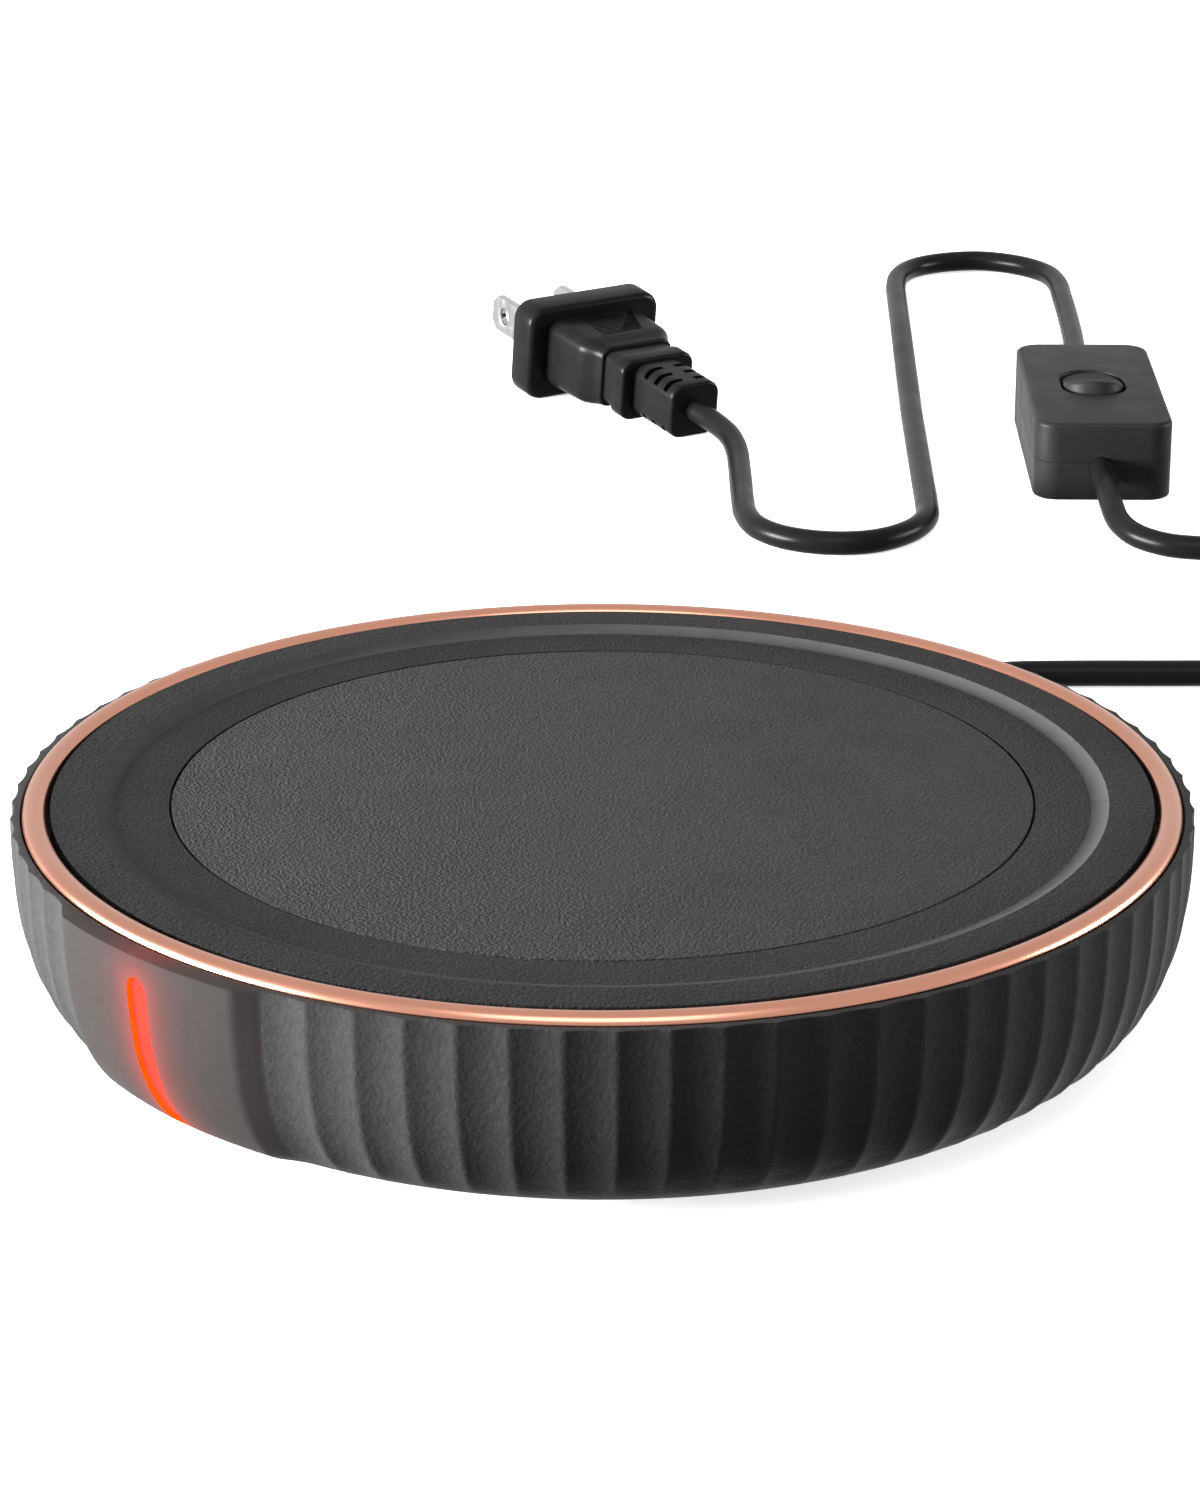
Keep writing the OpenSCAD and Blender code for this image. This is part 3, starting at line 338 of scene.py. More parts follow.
NODE_MATS = {
    "base_cover": "base", "plate_gasket": "silicone", "plate_studs": "steel",
    "upper_mica_sheet": "mica", "resistance_ribbon": "steel", "lower_mica_sheet": "mica",
    "insulation_pad": "felt", "clamp_plate": "aluminium", "stud_nuts": "steel",
    "thermostat": "phenolic", "thermal_fuse": "aluminium", "fuse_strap": "steel",
    "lens_holder": "phenolic", "light_board": "board", "light_leds": "led",
    "terminal_block": "nylon", "internal_leads": "wire", "lead_tail": "cable",
    "lead_clamp": "nylon", "clamp_screws": "steel", "rubber_feet": "rubber",
    "housing_screws": "steel", "rocker_plunger": "nylon", "plunger_spring": "steel",
    "contact_bridge": "brass", "switch_terminals": "brass", "switch_screws": "steel",
    "plug_insert": "phenolic",
}


def dress_nodes():
    """Materials of the pieces that show as they were packed."""
    for node, key in NODE_MATS.items():
        slots = NODES[node].material_slots
        for slot in slots:
            slot.link = "OBJECT"
            slot.material = MATS[key]
        if not slots:
            NODES[node].data.materials.append(MATS[key])
    NODES["coil_tie"].data.materials.clear()
    NODES["coil_tie"].data.materials.append(MATS["tie"])


def stand_in(obj, *nodes, body="warmer"):
    """obj shows in place of these CAD nodes and moves with the body."""
    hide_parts(*nodes)
    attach(obj, body)


# ---- mesh helpers ------------------------------------------------------------
CORNER_STEPS = 8


def new_object(name, verts, faces, mats, face_mats=None, sharp=35):
    mesh = bpy.data.meshes.new(name)
    mesh.from_pydata([tuple(c * MM for c in v) for v in verts], [], faces)
    for m in mats:
        mesh.materials.append(m)
    if face_mats:
        for polygon, index in zip(mesh.polygons, face_mats):
            polygon.material_index = index
    mesh.validate()
    obj = bpy.data.objects.new(name, mesh)
    bpy.context.scene.collection.objects.link(obj)
    smooth(obj, sharp)
    return obj


def smooth(obj, sharp=35):
    obj.data.shade_smooth()
    obj.data.set_sharp_from_angle(angle=math.radians(sharp))


def circle(n):
    """Cosine and sine of n equal steps round a turn."""
    return [(math.cos(2 * math.pi * k / n), math.sin(2 * math.pi * k / n)) for k in range(n)]


def quarter(q, size):
    """Offsets along and across a quarter round of that size at q degrees."""
    a = math.radians(q)
    return size * (1 - math.cos(a)), size * (1 - math.sin(a))


def grid_faces(rows, cols, closed=False):
    """Faces between rows of points, each row a ring; closed joins the last row to the first."""
    faces = []
    for r in range(rows if closed else rows - 1):
        low, high = r * cols, (r + 1) % rows * cols
        for c in range(cols):
            d = (c + 1) % cols
            faces.append((low + c, high + c, high + d, low + d))
    return faces


def flipped(faces):
    return [(a, d, c, b) for a, b, c, d in faces]


def prism_faces(n):
    """Faces of a prism between two outlines of n points."""
    ends = [tuple(reversed(range(n))), tuple(range(n, 2 * n))]
    return ends + [(k, (k + 1) % n, (k + 1) % n + n, k + n) for k in range(n)]


def lathe(name, profile, mat, n, sharp):
    """Closed revolve of a closed outline of (r, z) points, clockwise as seen from +Y."""
    turns = circle(n)
    pts = [(r * s, -r * c, z) for r, z in profile for c, s in turns]
    return new_object(name, pts, grid_faces(len(profile), n, closed=True), [mat], sharp=sharp)


def rounded(points, radii, steps):
    """Outline with its corners rounded, each by its own radius."""
    out = []
    n = len(points)
    for i in range(n):
        p, a, b = Vector(points[i]), Vector(points[i - 1]), Vector(points[(i + 1) % n])
        if radii[i] <= 0:
            out.append(tuple(p))
            continue
        u, v = (a - p).normalized(), (b - p).normalized()
        half = math.acos(max(-1, min(1, u.dot(v)))) / 2
        cut = min(radii[i] / math.tan(half), (a - p).length * 0.49, (b - p).length * 0.49)
        r = cut * math.tan(half)
        centre = p + (u + v).normalized() * (r / math.sin(half))
        s, e = p + u * cut - centre, p + v * cut - centre
        for k in range(steps + 1):
            out.append(tuple(centre + s.slerp(e, k / steps).normalized() * r))
    return out


def round_rect(w, l, r):
    """Outline of a rectangle with round corners."""
    pts = []
    for cx, cy, a0 in ((1, 1, 0), (-1, 1, 90), (-1, -1, 180), (1, -1, 270)):
        for k in range(CORNER_STEPS + 1):
            a = math.radians(a0 + 90 * k / CORNER_STEPS)
            pts.append((cx * (w / 2 - r) + r * math.cos(a), cy * (l / 2 - r) + r * math.sin(a)))
    return pts


def loft(name, sections, mat, place, sharp=35):
    """Closed loft through sections of equally many (x, y) points, each with its z."""
    n = len(sections[0][1])
    verts = [place((x, y, z)) for z, outline in sections for x, y in outline]
    faces = flipped(grid_faces(len(sections), n))
    faces.append(tuple(reversed(range(n))))
    last = (len(sections) - 1) * n
    faces.append(tuple(range(last, last + n)))
    return new_object(name, verts, faces, [mat], sharp=sharp)


def apply_modifiers(obj):
    depsgraph = bpy.context.evaluated_depsgraph_get()
    mesh = bpy.data.meshes.new_from_object(obj.evaluated_get(depsgraph))
    obj.modifiers.clear()
    obj.data = mesh


def cut(obj, *cutters, sharp=35):
    """Takes the cutters' volume out of obj and deletes them."""
    for cutter in cutters:
        mod = obj.modifiers.new("cut", "BOOLEAN")
        mod.operation = "DIFFERENCE"
        mod.solver = "EXACT"
        mod.object = cutter
    apply_modifiers(obj)
    for cutter in cutters:
        bpy.data.objects.remove(cutter)
    smooth(obj, sharp)


def bevel(obj, width, segments, angle, sharp=50):
    mod = obj.modifiers.new("bevel", "BEVEL")
    mod.width = width * MM
    mod.segments = segments
    mod.limit_method = "ANGLE"
    mod.angle_limit = math.radians(angle)
    apply_modifiers(obj)
    smooth(obj, sharp)


# ---- housing: fluted flank, raised panel and lens slot -----------------------
def flank_s(a):
    """Depth under the rim at angle a of the flank's curve."""
    return BODY_H * math.sin(a) ** (2 / FLANK_P)


def flank(a, d=0.0):
    """Point (r, z) on the flank at angle a, moved out by d along the normal."""
    x = max(0.0, math.cos(a)) ** (2 / FLANK_P)
    s = flank_s(a)
    steep = (s / BODY_H) ** (FLANK_P - 1) / BODY_H
    n = Vector((x ** (FLANK_P - 1) / FLANK_W, -steep)).normalized()
    return (BODY_R - FLANK_W * (1 - x) + d * n.x, RIM_Z - s + d * n.y)


def ridge_r(z):
    """Radius across the ridges at height z."""
    s = (RIM_Z - z) / BODY_H
    return BODY_R - FLANK_W * (1 - (1 - s ** FLANK_P) ** (1 / FLANK_P))


LIP_H, LIP_W, LIP_FIT, LIP_STEP = 1.5, 1.8, 0.05, 1.2
FIT, RING_FIT, FADE_GAP = 0.2, 0.15, 0.3
FLANGE_T, FLANGE_W = 2, 1.4
SPLIT = flank(math.radians(SPLIT_A))
SPLIT_TOP = SPLIT[1] + LIP_H
LIP_R = SPLIT[0] - LIP_W
FADE_TO = RIM_Z - SPLIT[1] - FADE_GAP
FLANGE_R = BODY_R - WALL - FIT
RING_Z = RIM_Z - RING_SEAT
RING_BORE = RING_R + RING_W + RING_FIT
RIM_CHAMFER = 0.14
RIM_LAND = RIM_CHAMFER * 0.6
PER_FLUTE, PANEL_COLUMNS, STEP_COLUMNS = 16, 40, 6
FLANK_ROWS, FLANK_START, ROW_CROWDING = 46, 2.2, 1.15
RIDGE_LAND, RIDGE_SPREAD = 0.03, 0.03
PANEL_SLOPE, PANEL_FADE = 0.4, 0.97
SLOT_FIT, SLOT_IN, SLOT_OUT, ARCH_STEPS = 0.1, 14, 6, 20
EXIT_R, EXIT_IN, EXIT_OUT = 2.85, 12, 4


def fade(s):
    """Share of the flutes' depth that is left at depth s under the rim."""
    return max(0.0, min(1.0, (FADE_TO - s) / (FADE_TO - FADE_FROM)))


def ease(t):
    """Smooth step from 0 to 1."""
    t = max(0.0, min(1.0, t))
    return t * t * (3 - 2 * t)


def panel_lift(s):
    """Height of the panel over the ridges at depth s."""
    return PANEL_RISE * (1 - PANEL_SLOPE * s / BODY_H) * fade(s * PANEL_FADE)


def flute_cut(k, s):
    """A scallop across each pitch, with a narrow rounded ridge between two."""
    m = k % 1.0
    hollow = 4 * m * (1 - m)
    ridge = RIDGE_LAND * math.exp(-(min(m, 1 - m) / RIDGE_SPREAD) ** 2)
    return -(FLUTE_D * hollow + ridge) * fade(s)


def column_lift(k, s):
    """Offset of the surface k pitches from the panel's middle, at depth s."""
    edge, side = PANEL_K * PANEL_FILL, abs(k)
    if side < edge:
        return panel_lift(s)
    if side < PANEL_K:
        return panel_lift(s) * (PANEL_K - side) / (PANEL_K - edge)
    return flute_cut(k, s)


def column_list():
    """Places of the columns in pitches, denser round the panel's edges."""
    edge = PANEL_K * PANEL_FILL
    panel = [-edge + 2 * edge * i / PANEL_COLUMNS for i in range(PANEL_COLUMNS + 1)]
    step = [edge + (PANEL_K - edge) * i / STEP_COLUMNS for i in range(1, STEP_COLUMNS)]
    flutes = [PANEL_K + i / PER_FLUTE for i in range((FLUTE_N - 2 * PANEL_K) * PER_FLUTE + 1)]
    return panel + step + flutes + [FLUTE_N - q for q in reversed(step)]


def inner_line():
    """Points (r, z) of the housing's inside, from the split up to the rim."""
    def at(j):
        return flank(math.radians(SPLIT_A) * j / 4, -WALL)

    flange = RING_Z - FLANGE_T
    return [(SPLIT[0] - LIP_FIT, SPLIT_TOP), (LIP_R, SPLIT_TOP), (LIP_R, SPLIT_TOP + LIP_STEP),
            at(4), at(3), at(2), (FLANGE_R - FLANGE_W, flange), (FLANGE_R + FIT, flange),
            (FLANGE_R + FIT, RING_Z), (RING_BORE, RING_Z), (RING_BORE, RIM_Z - RIM_LAND)]


def at_turn(r, z, turn):
    return (r * math.sin(turn), -r * math.cos(turn), z)


def make_housing():
    """Rows of points round the whole body: rim, flank and inside, joined into a closed shell."""
    columns = column_list()
    n = len(columns)
    turns = [2 * math.pi * k / FLUTE_N for k in columns]
    signed = [k if k < FLUTE_N / 2 else k - FLUTE_N for k in columns]
    # The rim: a flat land, then a small round, then the flank
    rows = [[at_turn(RING_BORE + RIM_LAND, RIM_Z, t) for t in turns]]
    for q in (0, 30, 60):
        down, back = quarter(q, RIM_CHAMFER)
        rows.append([at_turn(BODY_R + column_lift(k, 0.0) - back, RIM_Z - down, t)
                     for k, t in zip(signed, turns)])
    for j in range(FLANK_ROWS):
        along = (j / (FLANK_ROWS - 1)) ** ROW_CROWDING
        a = math.radians(FLANK_START + (SPLIT_A - FLANK_START) * along)
        s = flank_s(a)
        rows.append([at_turn(*flank(a, column_lift(k, s)), t) for k, t in zip(signed, turns)])
    outer = len(rows) - 1
    rows += [[at_turn(r, z, t) for t in turns] for r, z in inner_line()]
    flat = [abs(k) <= PANEL_K + 1e-6 for k in signed]
    on_panel = [flat[c] and flat[(c + 1) % n] for c in range(n)]
    face_mats = [PANEL_SLOT if f // n < outer and on_panel[f % n] else FLANK_SLOT
                 for f in range(len(rows) * n)]
    obj = new_object("housing_shell", [p for row in rows for p in row],
                     grid_faces(len(rows), n, closed=True), HOUSING_MATS, face_mats)
    cut(obj, slot_cutter(), exit_cutter(), sharp=24)
    stand_in(obj, "fluted_housing")


def slot_cutter():
    """Prism through the panel, arched at its top; the slot walls it leaves take a painted orange
    glow, the lens's light painted onto the housing plastic.
    """
    w = STRIP_W / 2 + SLOT_FIT
    low, high = RIM_Z - STRIP_END - SLOT_FIT, RIM_Z - STRIP_TOP + SLOT_FIT
    outline = [(-w, low), (w, low)]
    for k in range(ARCH_STEPS + 1):
        a = math.pi * k / ARCH_STEPS
        outline.append((w * math.cos(a), high - w + w * math.sin(a)))
    verts = [(x, -reach, z) for reach in (BODY_R - SLOT_IN, BODY_R + SLOT_OUT) for x, z in outline]
    n = len(outline)
    faces = [tuple(reversed(range(n))), tuple(range(n, 2 * n))]
    faces += [((k + 1) % n, (k + 1) % n + n, k + n, k) for k in range(n)]
    return new_object("slot_cutter", verts, faces, HOUSING_MATS, [PAINTED_GLOW_WALL_SLOT] * len(faces))


def exit_cutter():
    """Hole for the bend relief's neck."""
    t = math.radians(EXIT_TURN)
    out = Vector((math.sin(t), -math.cos(t), 0))
    side = Vector((out.y, -out.x, 0))
    turns = circle(40)
    verts = [tuple(out * reach + side * (EXIT_R * c) + Vector((0, 0, EXIT_Z + EXIT_R * s)))
             for reach in (BODY_R - EXIT_IN, BODY_R + EXIT_OUT) for c, s in turns]
    return new_object("exit_cutter", verts, prism_faces(len(turns)), [MATS["flank"]])


LENS_SUNK, LENS_BEHIND, LENS_FIT, LENS_TIP = 0.55, 0.1, 0.05, 0.012
LENS_ROWS, LENS_ACROSS = 60, 9


def flank_angle(s):
    """Angle of the flank's curve at depth s."""
    return math.asin((s / BODY_H) ** (FLANK_P / 2))


def make_lens():
    """The lit lens: a band of the flank, a little below the panel, with a rounded upper end."""
    w = STRIP_W / 2 - LENS_FIT
    top, length = STRIP_TOP + LENS_FIT, STRIP_END - STRIP_TOP - 2 * LENS_FIT
    tip = top + LENS_TIP
    depths = [tip] + [top + length * i / LENS_ROWS for i in range(1, LENS_ROWS + 1)]
    verts, faces = [], []
    for back in (LENS_SUNK, WALL + LENS_BEHIND):
        for s in depths:
            drop = s - tip
            h = w if drop >= w else math.sqrt(max(0.0, w * w - (w - drop) ** 2))
            r, z = flank(flank_angle(s), panel_lift(s) - back)
            for c in range(LENS_ACROSS):
                x = h * (2 * c / (LENS_ACROSS - 1) - 1)
                verts.append((x, -math.sqrt(r * r - x * x), z))
    rows, across = len(depths), LENS_ACROSS
    half = rows * across
    for i in range(rows - 1):
        for c in range(across - 1):
            a = i * across + c
            faces.append((a, a + across, a + across + 1, a + 1))
            faces.append((half + a, half + a + 1, half + a + across + 1, half + a + across))
    rim = list(range(across)) + [i * across + across - 1 for i in range(1, rows)]
    rim += [(rows - 1) * across + c for c in range(across - 2, -1, -1)]
    rim += [i * across for i in range(rows - 2, 0, -1)]
    for a, b in zip(rim, rim[1:] + rim[:1]):
        faces.append((a, b, half + b, half + a))
    obj = new_object("lit_lens", verts, faces, [LENS_FACE], sharp=40)
    stand_in(obj, "strip_lens")


# ---- top: cover with its well, ring and plate --------------------------------
AXIS_R = 0.01
BEAD_GAP, BEAD_LOW, BEAD_UP = 0.08, -0.15, 1.2
COVER_GAP, COVER_INSET, WELL_UNDERCUT = 0.4, 2.4, 0.5
SHOULDER_STEPS, SHOULDER_POWER = 12, 2.2
PLATE_STEP, PLATE_LIP_T, PLATE_LIP_W = 0.4, 1.2, 2.4


def make_cover():
    """Border, shoulder and well; the faces on the shoulder take a smooth, ungrained colour of their
    own, whose extra lightness is a painted highlight.
    """
    seam, rim, border = PLATE_R + PLATE_GAP, RIM_Z, RIM_Z + BORDER_RISE
    well_edge, ring_side, inner = BORDER_R - SHOULDER_W, RING_R - COVER_GAP, RING_R - COVER_INSET
    bottom, flange = rim - COVER_T, RING_Z - FLANGE_T
    shoulder = [(well_edge + SHOULDER_W * k / SHOULDER_STEPS,
                 rim + BORDER_RISE * (k / SHOULDER_STEPS) ** SHOULDER_POWER)
                for k in range(SHOULDER_STEPS + 1)]
    outline = [(seam + WELL_UNDERCUT, bottom), (seam, rim)] + shoulder
    outline += [(ring_side, border), (ring_side, RING_Z), (FLANGE_R, RING_Z), (FLANGE_R, flange),
                (inner, flange), (inner, bottom)]
    radii = [0.05, 0.04] + [0] * SHOULDER_STEPS + [0.15, 0.12] + [0] * 5
    cover = lathe("well_and_border", rounded(outline, radii, 6), MATS["cover"], 400, sharp=40)
    cover.data.materials.append(MATS["shoulder"])
    # Shoulder faces take the lighter material, a painted highlight
    for face in cover.data.polygons:
        across, up = Vector(face.center[:2]).length / MM, face.center[2] / MM
        if well_edge < across < BORDER_R and up > rim:
            face.material_index = 1
    stand_in(cover, "top_cover")


def make_ring():
    """The trim ring, a low round bead."""
    half, middle = RING_W / 2 - BEAD_GAP, RING_R + RING_W / 2
    outline = [(middle - half, RING_Z)]
    for q in range(0, 181, 6):
        a = math.radians(q)
        outline.append((middle - half * math.cos(a), RIM_Z + BEAD_LOW + BEAD_UP * math.sin(a)))
    outline.append((middle + half, RING_Z))
    stand_in(lathe("rose_gold_ring", outline, MATS["copper"], 480, sharp=50), "trim_ring")


def make_plate():
    """The heating plate, with a lip that lies under the cover."""
    lip = RIM_Z - COVER_T - PLATE_STEP
    under, wide = lip - PLATE_LIP_T, PLATE_R + PLATE_LIP_W
    outline = [(AXIS_R, under), (AXIS_R, RIM_Z), (PLATE_R, RIM_Z), (PLATE_R, lip), (wide, lip),
               (wide, under)]
    disc = rounded(outline, [0, 0, 0.08, 0, 0.1, 0.1], 5)
    stand_in(lathe("warming_plate", disc, MATS["plate"], 320, sharp=40), "heating_plate")


# ---- bend relief -------------------------------------------------------------
RELIEF_GROOVE, RELIEF_N, RELIEF_SLOT, RELIEF_END = 0.8, 4, 0.2, 1.5
RELIEF_GAP = 0.3
RELIEF_FROM = ridge_r(EXIT_Z + RELIEF_D / 2) + RELIEF_GAP
RELIEF_TIP = ridge_r(EXIT_Z) + RELIEF_L
RELIEF_SEAT, RELIEF_FLANGE_T, RELIEF_FLANGE_R, RELIEF_NECK_R = 2.4, 1.6, 4.2, 2.8
RELIEF_SOFT = (0.4, 0.28, 0.5)


def at_exit(p):
    """Local +Z runs outwards along the lead's way out of the housing."""
    return turned((p[0], -p[2], p[1] + EXIT_Z), EXIT_TURN)


def make_relief():
    """Tapering sleeve with grooves, held by a flange behind the housing's wall."""
    step = (RELIEF_TIP - RELIEF_FROM) / (RELIEF_N + RELIEF_END)

    def radius(z):
        taper = (RELIEF_D - RELIEF_END_D) / 2
        return RELIEF_D / 2 - taper * (z - RELIEF_FROM) / (RELIEF_TIP - RELIEF_FROM)

    seat = ridge_r(EXIT_Z) - WALL - RELIEF_SEAT
    back = seat - RELIEF_FLANGE_T
    outline = [(AXIS_R, back), (RELIEF_FLANGE_R, back), (RELIEF_FLANGE_R, seat),
               (RELIEF_NECK_R, seat), (RELIEF_NECK_R, RELIEF_FROM), (RELIEF_D / 2, RELIEF_FROM)]
    for i in range(1, RELIEF_N + 1):
        z, w = i * step + RELIEF_FROM, step * RELIEF_SLOT
        outline += [(radius(z - w), z - w), (radius(z) - RELIEF_GROOVE, z - w),
                    (radius(z) - RELIEF_GROOVE, z + w), (radius(z + w), z + w)]
    outline += [(RELIEF_END_D / 2, RELIEF_TIP), (AXIS_R, RELIEF_TIP)]
    shoulder, groove, end = RELIEF_SOFT
    soft = rounded(outline, [0] * 5 + [shoulder] + [groove] * (4 * RELIEF_N) + [end, 0], 4)
    turns = circle(64)
    verts = [at_exit((r * c, r * s, z)) for r, z in soft for c, s in turns]
    faces = flipped(grid_faces(len(soft), len(turns)))
    obj = new_object("moulded_relief", verts, faces, [MATS["pvc"]], sharp=50)
    stand_in(obj, "bend_relief")


# ---- inline switch -----------------------------------------------------------
SWITCH_AT = (82.5, 228)
SWITCH_TURN = -1
SWITCH_W, SWITCH_L, SWITCH_H = 22.5, 50, 13
SWITCH_CORNER, SWITCH_WALL, SWITCH_SPLIT = 4, 1.6, 6.4
ROCKER_W, ROCKER_L, ROCKER_TILT = 10.1, 13.9, 9
ROCKER_LOW, ROCKER_UP, ROCKER_DISH, ROCKER_TAPER = 2.4, 4.6, 0.9, 0.55
PIN_Z, PIN_D, PIN_L = 9.2, 2.4, 1.6
LEAD_OFF, LEAD_Z = 0.46, 5.5
LEAD_HOLE_GAP, LEAD_HOLE_REACH = 0.05, 2
SWITCH_SEAM, SWITCH_ROUND, SWITCH_OVERCUT = 0.12, 0.8, 1
MOUTH_GAP_W, MOUTH_GAP_L, MOUTH_LIP, MOUTH_OVER = 0.6, 1.9, 0.35, 0.5
ROCKER_ROUND, ROCKER_LEAN_FROM, ROCKER_SIDE_TO, ROCKER_RINGS = 0.55, 2, 1.5, 10
STEM_R, STEM_L, STEM_IN = 2.3, 1.6, 0.2


def layout(p):
    """From the lead's own layout on the table to the part's frame."""
    return turned(p, LAY_TURN)


def at_switch(p):
    """Local origin under the middle of the switch, +Y along the lead."""
    x, y, z = turned(p, SWITCH_TURN)
    return layout((x + SWITCH_AT[0], y + SWITCH_AT[1], z))


def on_rocker(p):
    """Local origin on the rocker's pins, tilted with it."""
    c, s = math.cos(math.radians(ROCKER_TILT)), math.sin(math.radians(ROCKER_TILT))
    x, y, z = p
    return at_switch((x, y * c + z * s, PIN_Z - y * s + z * c))


def stadium(w, l, n=14):
    """Outline of a rectangle with half-round ends."""
    pts = []
    for side, a0 in ((1, 0), (-1, 180)):
        for k in range(n + 1):
            a = math.radians(a0 + 180 * k / n)
            pts.append((w / 2 * math.cos(a), side * (l - w) / 2 + w / 2 * math.sin(a)))
    return pts


def rod(a, b, radius, place, n=24):
    """Vertices and faces of a closed rod between two local points."""
    a, b = Vector(a), Vector(b)
    h = (b - a).normalized()
    u = h.orthogonal().normalized()
    v = h.cross(u)
    verts = [place(tuple(end + (u * c + v * s) * radius)) for end in (a, b) for c, s in circle(n)]
    return verts, prism_faces(n)


def joined(parts):
    """One vertex and face list from several."""
    verts, faces = [], []
    for v, f in parts:
        faces += [tuple(i + len(verts) for i in face) for face in f]
        verts += v
    return verts, faces


def block(low, high, place):
    """Vertices and faces of a box between two local corners."""
    verts = [place((x, y, z)) for z in (low[2], high[2]) for y in (low[1], high[1])
             for x in (low[0], high[0])]
    faces = [(0, 2, 3, 1), (4, 5, 7, 6), (0, 1, 5, 4), (2, 6, 7, 3), (0, 4, 6, 2), (1, 3, 7, 5)]
    return verts, faces


def rect_section(z, inset):
    """Section of the switch's case at height z."""
    return (z, round_rect(SWITCH_W - 2 * inset, SWITCH_L - 2 * inset, SWITCH_CORNER - inset))


def mouth_outline(flare):
    """Outline round the rocker; flare runs from 0 at its side to 1 at the case's top."""
    grow = 2 * MOUTH_LIP * flare
    return stadium(ROCKER_W + MOUTH_GAP_W + grow, ROCKER_L + MOUTH_GAP_L + grow)


def lead_cutter():
    """Holes for the lead at both ends of the switch."""
    near, far = SWITCH_L / 2 - LEAD_HOLE_REACH, SWITCH_L / 2 + LEAD_HOLE_REACH
    parts = [rod((s * LEAD_OFF, s * near, LEAD_Z), (s * LEAD_OFF, s * far, LEAD_Z),
                 CORD_D / 2 + LEAD_HOLE_GAP, at_switch, 32) for s in (-1, 1)]
    return new_object("lead_holes", *joined(parts), [MATS["switch"]])


def make_switch():
    """Both halves of the case, hollow, with the rocker's mouth and the lead's holes."""
    plastic, ceiling = MATS["switch"], SWITCH_H - SWITCH_WALL
    sections = [rect_section(SWITCH_SPLIT, SWITCH_SEAM),
                rect_section(SWITCH_SPLIT + SWITCH_SEAM, 0)]
    for q in range(0, 91, 15):
        inset, drop = quarter(q, SWITCH_ROUND)
        sections.append(rect_section(SWITCH_H - drop, inset))
    cover = loft("switch_upper_shell", sections, plastic, at_switch, sharp=40)
    _, inner = rect_section(0, SWITCH_WALL)
    hollow = [(SWITCH_SPLIT - SWITCH_OVERCUT, inner), (ceiling, inner)]
    cavity = loft("cavity", hollow, plastic, at_switch)
    lip = SWITCH_H - MOUTH_LIP
    opening = [(ceiling - SWITCH_OVERCUT, mouth_outline(0)), (lip, mouth_outline(0))]
    for q in (25, 50, 75):
        a = math.radians(q)
        opening.append((lip + MOUTH_LIP * math.sin(a), mouth_outline(1 - math.cos(a))))
    opening.append((SWITCH_H + MOUTH_OVER, mouth_outline(1)))
    mouth = loft("mouth", opening, plastic, at_switch)
    cut(cover, cavity, mouth, lead_cutter(), sharp=40)
    stand_in(cover, "switch_top_cover")
    low = [rect_section(z, inset) for z, inset in ((0, 0.4), (0.15, 0.15), (0.4, 0))]
    low += [rect_section(SWITCH_SPLIT - SWITCH_SEAM, 0), rect_section(SWITCH_SPLIT, SWITCH_SEAM)]
    bottom = loft("switch_lower_shell", low, plastic, at_switch, sharp=40)
    hollow = [(SWITCH_WALL, inner), (SWITCH_SPLIT + SWITCH_OVERCUT, inner)]
    pan = loft("pan", hollow, plastic, at_switch)
    cut(bottom, pan, lead_cutter(), sharp=40)
    stand_in(bottom, "switch_bottom_cover")
    return cover, bottom


def make_rocker():
    """Dished rocker with its side pins and the stem of its plunger."""
    outline = stadium(ROCKER_W, ROCKER_L, 20)
    half = ROCKER_L / 2

    def crown(y):
        u = y / (half - ROCKER_TAPER)
        return ROCKER_UP + ROCKER_DISH * (u * u - 1)

    def ring(scale_x, scale_y, height):
        pts = []
        for x, y in outline:
            qx, qy = x * scale_x, y * scale_y
            z = height(qy)
            lean = max(0.0, min(1.0, (z - ROCKER_LEAN_FROM) / (ROCKER_UP - ROCKER_LEAN_FROM)))
            pts.append((qx, qy * (1 - ROCKER_TAPER * lean / half), z))
        return pts

    rings = [ring(1, 1, lambda y, z=z: z) for z in (-ROCKER_LOW, ROCKER_SIDE_TO)]
    for q in range(0, 91, 15):
        back, down = quarter(q, ROCKER_ROUND)
        rings.append(ring(1 - 2 * back / ROCKER_W, 1 - 2 * back / ROCKER_L,
                          lambda y, d=down: crown(y) - d))
    top_w, top_l = 1 - 2 * ROCKER_ROUND / ROCKER_W, 1 - 2 * ROCKER_ROUND / ROCKER_L
    for k in range(1, ROCKER_RINGS):
        f = 1 - k / ROCKER_RINGS
        rings.append(ring(top_w * f, top_l * f, crown))
    n = len(outline)
    verts = [on_rocker(p) for row in rings for p in row]
    faces = flipped(grid_faces(len(rings), n))
    faces.append(tuple(reversed(range(n))))
    last = (len(rings) - 1) * n
    verts.append(on_rocker((0, 0, crown(0))))
    faces += [(last + k, last + (k + 1) % n, len(verts) - 1) for k in range(n)]
    pins = rod((-ROCKER_W / 2 - PIN_L, 0, 0), (ROCKER_W / 2 + PIN_L, 0, 0), PIN_D / 2, on_rocker)
    stem = rod((0, 0, -ROCKER_LOW - STEM_L), (0, 0, -ROCKER_LOW + STEM_IN), STEM_R, on_rocker)
    obj = new_object("switch_rocker", *joined([(verts, faces), pins, stem]), [MATS["rocker"]],
                     sharp=55)
    stand_in(obj, "rocker", body="rocker")
    return obj


